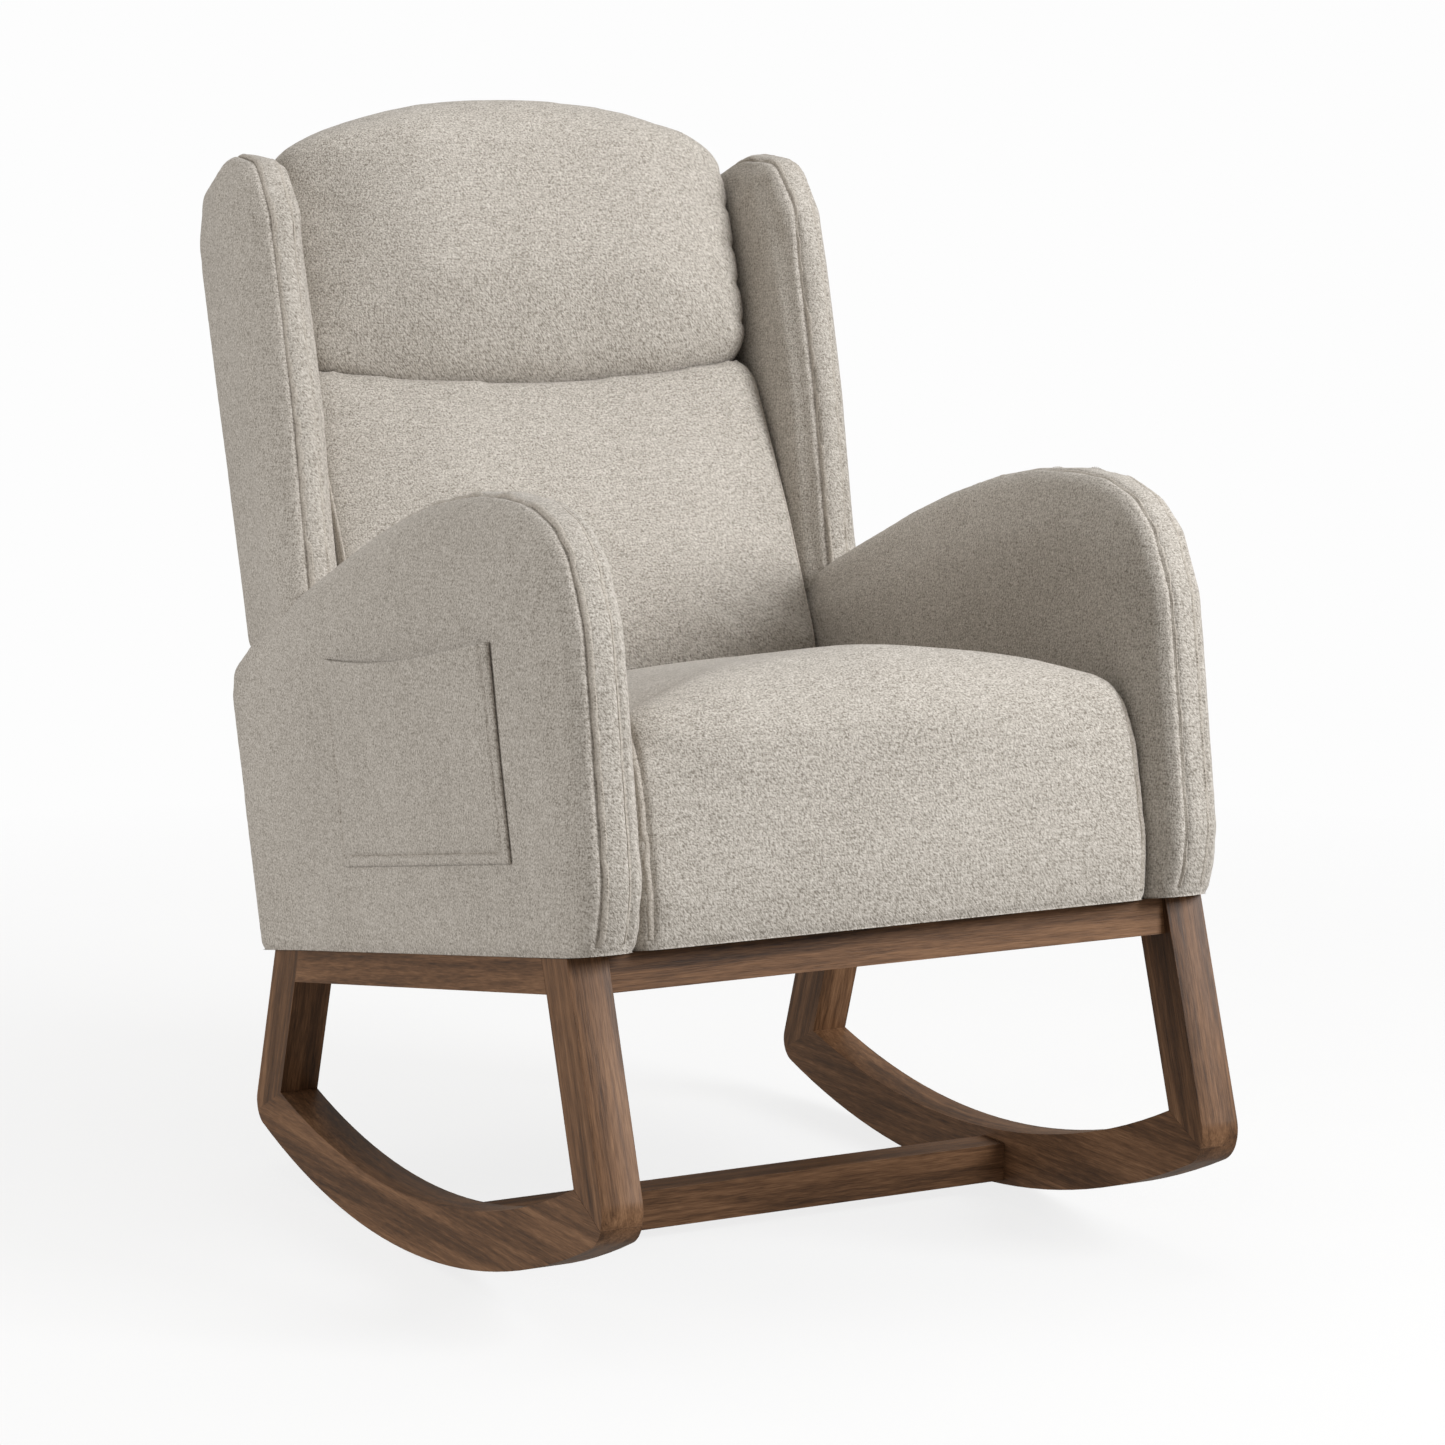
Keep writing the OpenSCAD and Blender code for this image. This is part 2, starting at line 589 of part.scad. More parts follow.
wing_nose = [[148, 320], [172, 500], [180, 640]];
module wing_solid() on_back() hull() {
    for (q = wing_nose) wing_ball(q[0], q[1]);
    for (a = [0, 45, 90]) wing_ball(124 + 56 * cos(a), wing_l - wing_r - 56 + 56 * sin(a));
    for (x = [wing_x - wing_r + edge_r, wing_out_rear - edge_r])
        for (q = [[0, 150], [0, wing_l - 60], [24, wing_l - 16]])
            translate([x, -q[0] - outback_t - clear - edge_r, q[1]]) sphere(r = edge_r, $fn = 28);
}
module wing_ball(v, u) translate([wing_x, -v, u]) sphere(r = wing_r, $fn = 28);

// The room a wing leaves for the rounded top of the arm under it
module arm_room() {
    a = bezier_in(arm_top, 0.6, arm_r);
    b = bezier_in(arm_top, 1, arm_r);
    translate([arm_x, a[0], a[1]]) rotate([atan2(b[1] - a[1], b[0] - a[0]) - 90, 0, 0])
        linear_extrude(norm(b - a) + 200) {
            circle(r = arm_r + clear);
            translate([-arm_r - clear, 0]) square([2 * (arm_r + clear), 300]);
        }
}

// The wooden panel inside a wing, with its foot at u
function wing_panel_pts(u) = [for (q = [[16, u], [16, 690], [70, 722], [130, 722], [160, 690], [150, 560],
    [136, 430], [126, u]]) back_pt(q[0], q[1])];
wing_panel_x = [wing_x - board_t / 2, wing_x + board_t / 2];
module wing_panel(left) color(ply) placed() on_side(left)
    across(wing_panel_x[0], wing_panel_x[1]) polygon(wing_panel_pts(340));

// Spacers fix the wing panels to the back posts
spacer_u = [340, 600];
spacer_h = 80;
module wing_spacer_blocks(grow) on_back_face(post_v[0] - grow, 60 + grow) for (u = spacer_u)
    translate([post_x[1], u - grow]) square([wing_panel_x[0] - post_x[1], spacer_h + 2 * grow]);
module wing_spacers() color(ply) placed() both_sides() wing_spacer_blocks(0);

module wing_pad(left) color(cloth) placed() on_side(left) difference() {
    wing_solid();
    arm_room();
    across(wing_panel_x[0] - clear, wing_panel_x[1] + clear) offset(delta = clear)
        polygon(wing_panel_pts(200));
    wing_spacer_blocks(clear);
}

wing_front = [for (q = [[176, 318], [197, 450], [215, 600], [209, 690]]) back_pt(q[0], q[1])];
wing_top = [for (q = [[209, 690], [206, 738], [170, wing_l], [124, wing_l]]) back_pt(q[0], q[1])];
module wing_welts(left) color(cloth_dark) placed() on_side(left) difference() {
    welt_band([wing_front[0]], wing_front, wing_top, wing_x, 4);
    wing_solid();
    arm_room();
}

front_leg(true);  // left_front_leg
front_leg(false);  // right_front_leg
rear_leg(true);  // left_rear_leg
rear_leg(false);  // right_rear_leg
side_rail(true);  // left_side_rail
side_rail(false);  // right_side_rail
runner(true);  // left_runner
runner(false);  // right_runner
front_rail();
rear_rail();
runner_stretcher();
corner_blocks();
frame_dowels();
seat_bolts();
arm_bolts();
arm_spacers();
body_bolts();
seat_front_board();
seat_rear_board();
seat_side_boards();
seat_springs();
spring_clips();
seat_cushion();
seat_apron();
seat_side_pads();
dust_cover();
arm_panel(true);  // left_arm_panel
arm_panel(false);  // right_arm_panel
arm_pad(true);  // left_arm_pad
arm_pad(false);  // right_arm_pad
arm_welts(true);  // left_arm_welts
arm_welts(false);  // right_arm_welts
pocket(true);  // left_pocket
pocket(false);  // right_pocket
back_posts();
back_top_rail();
back_mid_rail();
back_bottom_rail();
back_webbing();
back_cushion();
head_cushion();
wing_panel(true);  // left_wing_panel
wing_panel(false);  // right_wing_panel
wing_spacers();
wing_pad(true);  // left_wing_pad
wing_pad(false);  // right_wing_pad
wing_welts(true);  // left_wing_welts
wing_welts(false);  // right_wing_welts
outside_back();
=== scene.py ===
"""Covers, seams and materials of the upholstered rocking chair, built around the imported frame.

Lengths are in metres. The chair faces -Y, +Z is up and the sitter's left is +X.
"""
import math

import bmesh
import bpy
import numpy as np
from mathutils import Matrix, Vector, noise
from mathutils.bvhtree import BVHTree
from mathutils.kdtree import KDTree


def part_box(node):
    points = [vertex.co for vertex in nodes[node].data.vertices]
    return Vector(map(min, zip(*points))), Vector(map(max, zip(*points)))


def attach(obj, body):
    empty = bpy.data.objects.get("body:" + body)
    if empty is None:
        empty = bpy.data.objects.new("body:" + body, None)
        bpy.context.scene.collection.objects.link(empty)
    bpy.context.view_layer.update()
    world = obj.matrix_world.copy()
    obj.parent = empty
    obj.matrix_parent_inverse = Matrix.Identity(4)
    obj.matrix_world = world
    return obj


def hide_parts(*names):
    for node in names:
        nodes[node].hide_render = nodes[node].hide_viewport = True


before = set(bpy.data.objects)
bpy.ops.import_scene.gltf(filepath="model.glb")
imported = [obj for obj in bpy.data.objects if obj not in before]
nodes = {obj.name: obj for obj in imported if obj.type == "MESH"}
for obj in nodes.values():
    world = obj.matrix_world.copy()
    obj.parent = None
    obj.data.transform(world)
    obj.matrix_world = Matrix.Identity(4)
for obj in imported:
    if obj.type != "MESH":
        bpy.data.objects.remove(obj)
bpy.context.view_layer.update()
scene = bpy.context.scene
MM = 0.001
X_AXIS = Vector((1, 0, 0))

# ---------------------------------------------------------------- local frames

RAIL_SLOPE = math.radians(9.3)
RECLINE = math.radians(17.3)
ALONG = Vector((0, math.cos(RAIL_SLOPE), -math.sin(RAIL_SLOPE)))  # rearwards along the side rails
ABOVE = Vector((0, math.sin(RAIL_SLOPE), math.cos(RAIL_SLOPE)))  # square to the rails
UP = Vector((0, math.sin(RECLINE), math.cos(RECLINE)))  # up the back
FORE = Vector((0, -math.cos(RECLINE), math.sin(RECLINE)))  # forwards from the back


def reach(node, direction):
    """The lowest and highest distance of a node's vertices along a direction."""
    far = [v.co.dot(direction) for v in nodes[node].data.vertices]
    return min(far), max(far)


# Levels that the covers are measured from: the rails' top, the outside back's rear face, and its foot,
# which is WING_RISE below the wings' tops.
WING_RISE = 771 * MM
rail_top = reach("front_rail", ABOVE)[1]
back_rear = reach("outside_back", FORE)[0]
back_foot = reach("left_wing_pad", UP)[1] - WING_RISE


def on_back(x, v, u):
    """A point x across, v forwards from the outside back and u up it."""
    return X_AXIS * x + FORE * (back_rear + v) + UP * (back_foot + u)


def back_vu(p):
    """A point's distance forwards from the outside back, and up it."""
    return p.dot(FORE) - back_rear, p.dot(UP) - back_foot


def rail_height(p):
    """A point's height over the rails' top."""
    return p.dot(ABOVE) - rail_top


# ---------------------------------------------------------------- mesh helpers


def coords(obj):
    co = np.empty(len(obj.data.vertices) * 3)
    obj.data.vertices.foreach_get("co", co)
    return co.reshape(-1, 3)


def set_coords(obj, co):
    obj.data.vertices.foreach_set("co", np.ascontiguousarray(co, np.float32).ravel())
    obj.data.update()


def normals(obj):
    no = np.empty(len(obj.data.vertices) * 3, np.float32)
    obj.data.vertex_normals.foreach_get("vector", no)
    return no.reshape(-1, 3).astype(float)


def new_object(name, mesh):
    obj = bpy.data.objects.new(name, mesh)
    scene.collection.objects.link(obj)
    return obj


def mesh_object(name, points, faces):
    mesh = bpy.data.meshes.new(name)
    mesh.from_pydata([tuple(p) for p in points], [], faces)
    mesh.validate()
    obj = new_object(name, mesh)
    shade_smooth(obj)
    return obj


def shade_smooth(obj):
    obj.data.polygons.foreach_set("use_smooth", [True] * len(obj.data.polygons))


def apply_modifiers(obj):
    bpy.context.view_layer.update()
    graph = bpy.context.evaluated_depsgraph_get()
    mesh = bpy.data.meshes.new_from_object(obj.evaluated_get(graph))
    obj.modifiers.clear()
    obj.data = mesh
    shade_smooth(obj)


def welded_copy(name, node_names, fatten=0.0):
    """One mesh of several CAD nodes' surfaces, each moved outwards by fatten."""
    whole = bmesh.new()
    for node in node_names:
        part = bmesh.new()
        part.from_mesh(nodes[node].data)
        bmesh.ops.remove_doubles(part, verts=part.verts, dist=0.02 * MM)
        part.normal_update()
        for v in part.verts:
            v.co += v.normal * fatten
        mesh = bpy.data.meshes.new("part")
        part.to_mesh(mesh)
        part.free()
        whole.from_mesh(mesh)
        bpy.data.meshes.remove(mesh)
    mesh = bpy.data.meshes.new(name)
    whole.to_mesh(mesh)
    whole.free()
    return new_object(name, mesh)


def convex(bm):
    """Leaves a mesh's convex hull."""
    bmesh.ops.remove_doubles(bm, verts=bm.verts, dist=0.02 * MM)
    found = bmesh.ops.convex_hull(bm, input=bm.verts)
    waste = {g for key in ("geom_interior", "geom_unused") for g in found[key]}
    bmesh.ops.delete(bm, geom=[g for g in waste if isinstance(g, bmesh.types.BMVert)], context="VERTS")
    bmesh.ops.recalc_face_normals(bm, faces=bm.faces)
    bm.normal_update()


def hull_copy(name, node_names, extra=(), fatten=0.0, square=False):
    """The convex hull of several CAD nodes and some extra points, moved outwards by fatten.

    A square one gets a flatter crest, and a foot in the rails is pushed down, to be cut off later."""
    bm = bmesh.new()
    for node in node_names:
        bm.from_mesh(nodes[node].data)
    for p in extra:
        bm.verts.new(p)
    convex(bm)
    if square:
        flatten_crest(bm)
    for v in bm.verts:
        v.co += v.normal * fatten
        if rail_height(v.co) < 3 * MM:
            v.co -= ABOVE * SKIRT
    mesh = bpy.data.meshes.new(name)
    bm.to_mesh(mesh)
    bm.free()
    return new_object(name, mesh)


def flatten_crest(bm):
    """Adds shoulders beside the crest of a slab with a fully rounded front and top."""
    xs = [v.co.x for v in bm.verts]
    middle = (min(xs) + max(xs)) / 2
    crest = [(v.co.copy(), v.normal.copy()) for v in bm.verts
             if abs(v.co.x - middle) < 6 * MM and abs(v.normal.x) < 0.4 and rail_height(v.co) > 3 * MM]
    for co, no in crest:
        no.x = 0
        no.normalize()
        for k, shoulder in ((-1, INNER_SHOULDER), (1, OUTER_SHOULDER)):
            for out, sink in shoulder:
                bm.verts.new(Vector((middle + k * out, co.y, co.z)) - no * sink)
    convex(bm)


SKIRT = 14 * MM  # length of cover that is cut off again, so that its lower edge stays crisp
# shoulders of the left arm's crest: distance from its middle, and depth below it
INNER_SHOULDER = [(14 * MM, 0.4 * MM), (22 * MM, 2.6 * MM), (28 * MM, 8 * MM)]
OUTER_SHOULDER = [(14 * MM, 1.8 * MM), (22 * MM, 6.0 * MM), (28 * MM, 12.5 * MM)]


def remesh(obj, voxel, relax=4):
    """Turns any closed shape into an even quad skin, then relaxes it."""
    modifier = obj.modifiers.new("skin", "REMESH")
    modifier.mode = "VOXEL"
    modifier.voxel_size = voxel
    smooth = obj.modifiers.new("relax", "SMOOTH")
    smooth.factor = 0.5
    smooth.iterations = relax
    apply_modifiers(obj)


def refine(obj):
    """Divides each face of a skin into four."""
    modifier = obj.modifiers.new("refine", "SUBSURF")
    modifier.levels = 1
    modifier.render_levels = 1
    apply_modifiers(obj)


def smooth_out(obj, rounds, where=None):
    """Takes the finest wrinkles out of a skin, or rounds it where a mask says so."""
    modifier = obj.modifiers.new("calm", "SMOOTH")
    modifier.factor = 0.5
    modifier.iterations = rounds
    if where is not None:
        group = obj.vertex_groups.new(name="calm")
        group.add([int(i) for i in np.flatnonzero(where)], 1.0, "REPLACE")
        modifier.vertex_group = "calm"
    apply_modifiers(obj)
    obj.vertex_groups.clear()


def from_back(obj):
    """Each vertex's distance forwards from the outside back, and up it."""
    co = coords(obj)
    return co @ np.array(FORE) - back_rear, co @ np.array(UP) - back_foot


def above_rails(obj):
    """Each vertex's height over the rails' top."""
    return coords(obj) @ np.array(ABOVE) - rail_top


def grid_faces(columns, rows):
    """The faces of a sheet whose points run along its rows."""
    wide = columns + 1
    return [(j * wide + i, j * wide + i + 1, (j + 1) * wide + i + 1, (j + 1) * wide + i)
            for j in range(rows) for i in range(columns)]


def surface(obj):
    """A piece's surface, to look up points on."""
    bpy.context.view_layer.update()
    return BVHTree.FromObject(obj, bpy.context.evaluated_depsgraph_get())


# ---------------------------------------------------------------- seams


def resample(points, step):
    """Points at even steps along a polyline, after a light smoothing."""
    line = np.array([tuple(p) for p in points])
    for _ in range(6):
        inner = 0.5 * line[1:-1] + 0.25 * (line[:-2] + line[2:])
        line = np.vstack([line[:1], inner, line[-1:]])
    run = np.concatenate([[0], np.cumsum(np.linalg.norm(np.diff(line, axis=0), axis=1))])
    count = max(3, int(round(run[-1] / step)) + 1)
    at = np.linspace(0, run[-1], count)
    return [Vector([np.interp(t, run, line[:, k]) for k in range(3)]) for t in at]


def slice_line(obj, point, normal, keep, start, step=3 * MM):
    """The line in which a plane cuts a skin, where keep says so, from the end nearest to start."""
    bm = bmesh.new()
    bm.from_mesh(obj.data)
    geom = bm.verts[:] + bm.edges[:] + bm.faces[:]
    cut = bmesh.ops.bisect_plane(bm, geom=geom, dist=1e-6, plane_co=point, plane_no=normal)
    edges = [e for e in cut["geom_cut"] if isinstance(e, bmesh.types.BMEdge)]
    near = {}
    for e in edges:
        a, b = e.verts
        if keep(a.co) and keep(b.co):
            near.setdefault(a, []).append(b)
            near.setdefault(b, []).append(a)
    runs, seen = [], set()
    ends = [v for v in near if len(near[v]) == 1] or list(near)[:1]
    for first in ends:
        if first in seen:
            continue
        run, here = [first], first
        seen.add(first)
        while True:
            ahead = [v for v in near[here] if v not in seen]
            if not ahead:
                break
            here = ahead[0]
            seen.add(here)
            run.append(here)
        runs.append([v.co.copy() for v in run])
    bm.free()
    longest = max(runs, key=len)
    if (longest[0] - start).length > (longest[-1] - start).length:
        longest.reverse()
    return resample(longest, step)


def distance_to(lines, co):
    """Each point's distance to the nearest of some polylines."""
    fine = [p for line in lines for p in resample(line, 1 * MM)]
    tree = KDTree(len(fine))
    for i, p in enumerate(fine):
        tree.insert(p, i)
    tree.balance()
    return np.array([tree.find(p)[2] for p in co])


def groove(obj, lines, depth, width):
    """Sinks the skin along some lines."""
    far = distance_to(lines, coords(obj))
    sink = depth * np.exp(-((far / width) ** 2))
    set_coords(obj, coords(obj) - normals(obj) * sink[:, None])


# a seam ridge's cross-section in millimetres: distance across from the seam, and height over the skin
RIDGE = [(0.0, -3.2), (0.05, -0.4), (0.5, 0.7), (1.4, 1.25), (2.8, 1.4), (4.2, 1.15), (5.3, 0.55),
         (6.0, -0.1), (6.2, -2.2), (3.0, -3.6)]
THREAD_STEP = 3.4 * MM
THREAD_R = 0.42 * MM


def calmed(values, rounds=8):
    """Evens out a row of vectors."""
    row = list(values)
    for _ in range(rounds):
        row[1:-1] = [(a + b * 2 + c) / 4 for a, b, c in zip(row, row[1:], row[2:])]
    return row


def seam_ridge(name, skin, line, towards, threads=True):
    """A topstitched seam: a flat ridge of doubled cloth on one side of the seam line, and its stitches.

    towards(p) points across the seam, to the side on which the cloth is folded over."""
    tree = surface(skin)
    line = resample(line, 2.5 * MM)
    found = [tree.find_nearest(p) for p in line]
    line = calmed([f[0] for f in found])
    slopes = calmed([f[1] for f in found])
    points, faces, rails = [], [], []
    for i, near in enumerate(line):
        tangent = (line[min(i + 1, len(line) - 1)] - line[max(i - 1, 0)]).normalized()
        normal = slopes[i].normalized()
        across = tangent.cross(normal).normalized()
        if across.dot(towards(near)) < 0:
            across = -across
        rails.append((near, normal, across))
        for b, h in RIDGE:
            spot, n, _, _ = tree.find_nearest(near + across * b * MM)
            n = (n + normal * 2).normalized()
            points.append(spot + n * h * MM)
    k = len(RIDGE)
    for i in range(len(line) - 1):
        for j in range(k):
            a, b = i * k + j, i * k + (j + 1) % k
            faces.append((a, b, b + k, a + k))
    faces.append(tuple(range(k)))
    faces.append(tuple(len(points) - 1 - j for j in range(k)))
    ridge = mesh_object(name, points, faces)
    outwards(ridge)
    if not threads:
        return [ridge]
    return [ridge, stitches(name + "_stitches", tree, rails)]


def outwards(obj):
    """Turns a closed shape's faces outwards."""
    bm = bmesh.new()
    bm.from_mesh(obj.data)
    bmesh.ops.recalc_face_normals(bm, faces=bm.faces)
    bm.to_mesh(obj.data)
    bm.free()


def stitches(name, tree, rails, offset=4.9 * MM, lift=0.95 * MM):
    """Short slanting threads in a row beside a seam."""
    path = resample([near + across * offset + normal * lift for near, normal, across in rails], THREAD_STEP)
    points, faces = [], []
    for i in range(len(path) - 1):
        a = path[i].lerp(path[i + 1], 0.14)
        b = path[i].lerp(path[i + 1], 0.86)
        mid = a.lerp(b, 0.5)
        normal = tree.find_nearest(mid)[1]
        thread(points, faces, a - normal * 0.3 * MM, mid + normal * 0.25 * MM, b - normal * 0.3 * MM)
    return mesh_object(name, points, faces)


def thread(points, faces, a, mid, b, sides=5):
    """A short bent tube through three points."""
    first = len(points)
    along = (b - a).normalized()
    side = along.orthogonal().normalized()
    other = along.cross(side)
    for centre, r in ((a, 0.3), (mid, 1.0), (b, 0.3)):
        for k in range(sides):
            turn = 2 * math.pi * k / sides
            points.append(centre + (side * math.cos(turn) + other * math.sin(turn)) * THREAD_R * r)
    for ring in range(2):
        for k in range(sides):
            p = first + ring * sides + k
            q = first + ring * sides + (k + 1) % sides
            faces.append((p, q, q + sides, p + sides))
    faces.append(tuple(first + k for k in reversed(range(sides))))
    faces.append(tuple(first + 2 * sides + k for k in range(sides)))


# ---------------------------------------------------------------- soft shapes


def inflate(obj, pinned, cap, pressure=4.0, frames=14):
    """Blows a skin up with a cloth simulation, held where pinned is true, and no further than cap."""
    rest = coords(obj)
    group = obj.vertex_groups.new(name="pinned")
    group.add([int(i) for i in np.flatnonzero(pinned)], 1.0, "REPLACE")
    cloth = obj.modifiers.new("cloth", "CLOTH")
    cloth.settings.vertex_group_mass = "pinned"
    cloth.settings.use_pressure = True
    cloth.settings.uniform_pressure_force = pressure
    cloth.settings.effector_weights.gravity = 0
    cloth.settings.quality = 4
    cloth.collision_settings.use_collision = False
    cloth.point_cache.frame_start = 1
    cloth.point_cache.frame_end = frames
    for f in range(1, frames + 1):
        scene.frame_set(f)
    graph = bpy.context.evaluated_depsgraph_get()
    shape = obj.evaluated_get(graph).to_mesh()
    moved = np.empty(len(rest) * 3)
    shape.vertices.foreach_get("co", moved)
    obj.evaluated_get(graph).to_mesh_clear()
    obj.modifiers.clear()
    obj.vertex_groups.clear()
    scene.frame_set(1)
    push = moved.reshape(-1, 3) - rest
    size = np.linalg.norm(push, axis=1)
    limit = cap * np.tanh(size / cap) / np.maximum(size, 1e-9)
    set_coords(obj, rest + push * limit[:, None])


def unevenness(obj, height, scale, seed):
    """Slow waves in the padding under the cloth."""
    shift = Vector((seed * 3.7, seed * 1.3, seed * 2.1))
    wave = np.array([noise.noise(Vector(p) * scale + shift) for p in coords(obj)])
    set_coords(obj, coords(obj) + normals(obj) * (height * wave)[:, None])


def puckers(obj, lines, height, pitch, spread, seed):
    """Short ripples that stand square to the seams and die out away from them."""
    co = coords(obj)
    far = distance_to(lines, co)
    shift = Vector((seed, seed * 2, seed * 3))
    near = far < 4 * spread
    ripple = np.zeros(len(co))
    for i in np.flatnonzero(near):
        ripple[i] = noise.noise(Vector(co[i]) / pitch + shift) * math.exp(-far[i] / spread)
    set_coords(obj, co + normals(obj) * (height * ripple)[:, None])


def keep_above(obj, height):
    """Nothing of a cover sinks into the rails under it."""
    sunk = np.maximum(height - above_rails(obj), 0)
    set_coords(obj, coords(obj) + np.outer(sunk, ABOVE))


def mirrored(obj, name):
    """The right-hand twin of a left-hand piece."""
    twin = new_object(name, obj.data.copy())
    twin.data.transform(Matrix.Scale(-1, 4, X_AXIS))
    twin.data.flip_normals()
    return twin


def finish_piece(obj, material, replaced=()):
    """Gives a piece its material, hangs it on the frame's root, and hides the CAD parts that it replaces.
    """
    obj.data.materials.clear()
    obj.data.materials.append(material)
    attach(obj, "root")
    if replaced:
        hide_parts(*replaced)


def finish_seam(parts):
    """Finishes a seam's ridge and, where it has them, its stitches."""
    for piece, material in zip(parts, (linen_seam, sewing_thread)):
        finish_piece(piece, material)


# ---------------------------------------------------------------- materials


def srgb(r, g, b):
    """The linear colour of an 8-bit one."""
    def linear(c):
        c /= 255
        return c / 12.92 if c <= 0.04045 else ((c + 0.055) / 1.055) ** 2.4
    return (linear(r), linear(g), linear(b), 1)


class Graph:
    """A material's nodes, with short ways to add and join them."""

    def __init__(self, name):
        self.material = bpy.data.materials.new(name)
        self.material.use_nodes = True
        self.tree = self.material.node_tree
        self.shader = self.tree.nodes["Principled BSDF"]
        self.place = self.add("ShaderNodeTexCoord").outputs["Object"]

    def add(self, kind, **settings):
        node = self.tree.nodes.new(kind)
        for key, value in settings.items():
            setattr(node, key, value)
        return node

    def join(self, value, socket):
        if isinstance(value, bpy.types.NodeSocket):
            self.tree.links.new(value, socket)
        else:
            socket.default_value = value

    def math(self, operation, a, b=0.0, clamp=False):
        node = self.add("ShaderNodeMath", operation=operation, use_clamp=clamp)
        self.join(a, node.inputs[0])
        self.join(b, node.inputs[1])
        return node.outputs[0]

    def stretch(self, vector, scale, turn=(0, 0, 0)):
        node = self.add("ShaderNodeMapping")
        self.join(vector, node.inputs["Vector"])
        node.inputs["Rotation"].default_value = turn
        node.inputs["Scale"].default_value = scale
        return node.outputs[0]

    def noise(self, vector, scale, detail=2.0, rough=0.5, warp=0.0):
        node = self.add("ShaderNodeTexNoise")
        self.join(vector, node.inputs["Vector"])
        node.inputs["Scale"].default_value = scale
        node.inputs["Detail"].default_value = detail
        node.inputs["Roughness"].default_value = rough
        node.inputs["Distortion"].default_value = warp
        return node.outputs["Fac"]

    def ramp(self, value, stops):
        node = self.add("ShaderNodeValToRGB")
        self.join(value, node.inputs[0])
        while len(node.color_ramp.elements) < len(stops):
            node.color_ramp.elements.new(0.5)
        for element, (at, colour) in zip(node.color_ramp.elements, stops):
            element.position = at
            element.color = colour
        return node.outputs["Color"]

    def bump(self, height, distance, strength=1.0):
        node = self.add("ShaderNodeBump")
        node.inputs["Distance"].default_value = distance
        node.inputs["Strength"].default_value = strength
        self.join(height, node.inputs["Height"])
        self.join(node.outputs[0], self.shader.inputs["Normal"])

    def set(self, **values):
        for key, value in values.items():
            self.join(value, self.shader.inputs[key.replace("_", " ")])
        return self.material


def upholstery_cloth(name, dark, middle, light):
    """Soft linen chenille: short slanting strokes over a fine weave of two-tone threads."""
    g = Graph(name)
    turn = Vector((1, 0.6, -1)).rotation_difference(X_AXIS).to_euler()
    slanted = g.stretch(g.place, (1, 1, 1), turn)
    strokes = g.noise(g.stretch(slanted, (230, 660, 660)), 1.0, 2.0, 0.6)
    upright = g.noise(g.stretch(g.place, (850, 850, 75)), 1.0, 2.0, 0.6)
    level = g.noise(g.stretch(g.place, (75, 75, 850)), 1.0, 2.0, 0.6)
    fade = g.noise(g.place, 7, 3.0, 0.5)
    tone = g.math("MULTIPLY", strokes, 1.05)
    tone = g.math("ADD", tone, g.math("MULTIPLY", upright, 0.32))
    tone = g.math("ADD", tone, g.math("MULTIPLY", level, 0.32))
    tone = g.math("ADD", tone, g.math("MULTIPLY", fade, 0.1))
    tone = g.math("SUBTRACT", tone, 0.395)
    colour = g.ramp(tone, [(0.28, dark), (0.5, middle), (0.72, light)])
    threads = g.math("ADD", upright, level)
    g.bump(g.math("ADD", strokes, g.math("MULTIPLY", threads, 0.35)), 1.0 * MM, 0.9)
    rough = g.math("ADD", g.math("MULTIPLY", strokes, 0.1), 0.86)
    return g.set(Base_Color=colour, Roughness=rough, Sheen_Weight=0.18, Sheen_Roughness=0.45,
                 Specular_IOR_Level=0.12)


def walnut(name, axis):
    """Oiled walnut with its grain along an axis, satin, darker in the pores."""
    g = Graph(name)
    turn = Vector(axis).rotation_difference(X_AXIS).to_euler()
    along = g.stretch(g.place, (1, 1, 1), turn)
    rings = g.noise(g.stretch(along, (1.8, 30, 30)), 1.0, 4.0, 0.62, 1.1)
    streak = g.noise(g.stretch(along, (9, 210, 210)), 1.0, 3.0, 0.7)
    pores = g.noise(g.stretch(along, (55, 900, 900)), 1.0, 2.0, 0.6)
    broad = g.noise(g.stretch(along, (1.0, 7, 7)), 1.0, 2.0, 0.5)
    tone = g.math("ADD", g.math("MULTIPLY", rings, 0.75), g.math("MULTIPLY", streak, 0.55))
    tone = g.math("ADD", tone, g.math("MULTIPLY", broad, 0.2))
    tone = g.math("ADD", tone, g.math("MULTIPLY", pores, 0.45))
    tone = g.math("SUBTRACT", tone, 0.475)
    stops = [(0.26, srgb(58, 38, 24)), (0.43, srgb(92, 64, 42)), (0.56, srgb(117, 84, 58)),
             (0.78, srgb(150, 113, 82))]
    colour = g.ramp(tone, stops)
    pits = g.ramp(pores, [(0.36, (0, 0, 0, 1)), (0.52, (1, 1, 1, 1))])
    g.bump(g.math("ADD", g.math("MULTIPLY", pits, 0.6), g.math("MULTIPLY", streak, 0.5)), 0.15 * MM, 0.6)
    rough = g.math("ADD", g.math("MULTIPLY", streak, 0.22), 0.4)
    return g.set(Base_Color=colour, Roughness=rough, Specular_IOR_Level=0.25, Coat_Weight=0.06,
                 Coat_Roughness=0.3)


def plywood(name):
    """Pale birch plywood, with its veneers along Y."""
    g = Graph(name)
    ply = g.noise(g.stretch(g.place, (9, 120, 9)), 1.0, 4.0, 0.6)
    colour = g.ramp(ply, [(0.3, srgb(176, 143, 100)), (0.7, srgb(218, 190, 148))])
    g.bump(ply, 0.2 * MM, 0.4)
    return g.set(Base_Color=colour, Roughness=0.75)


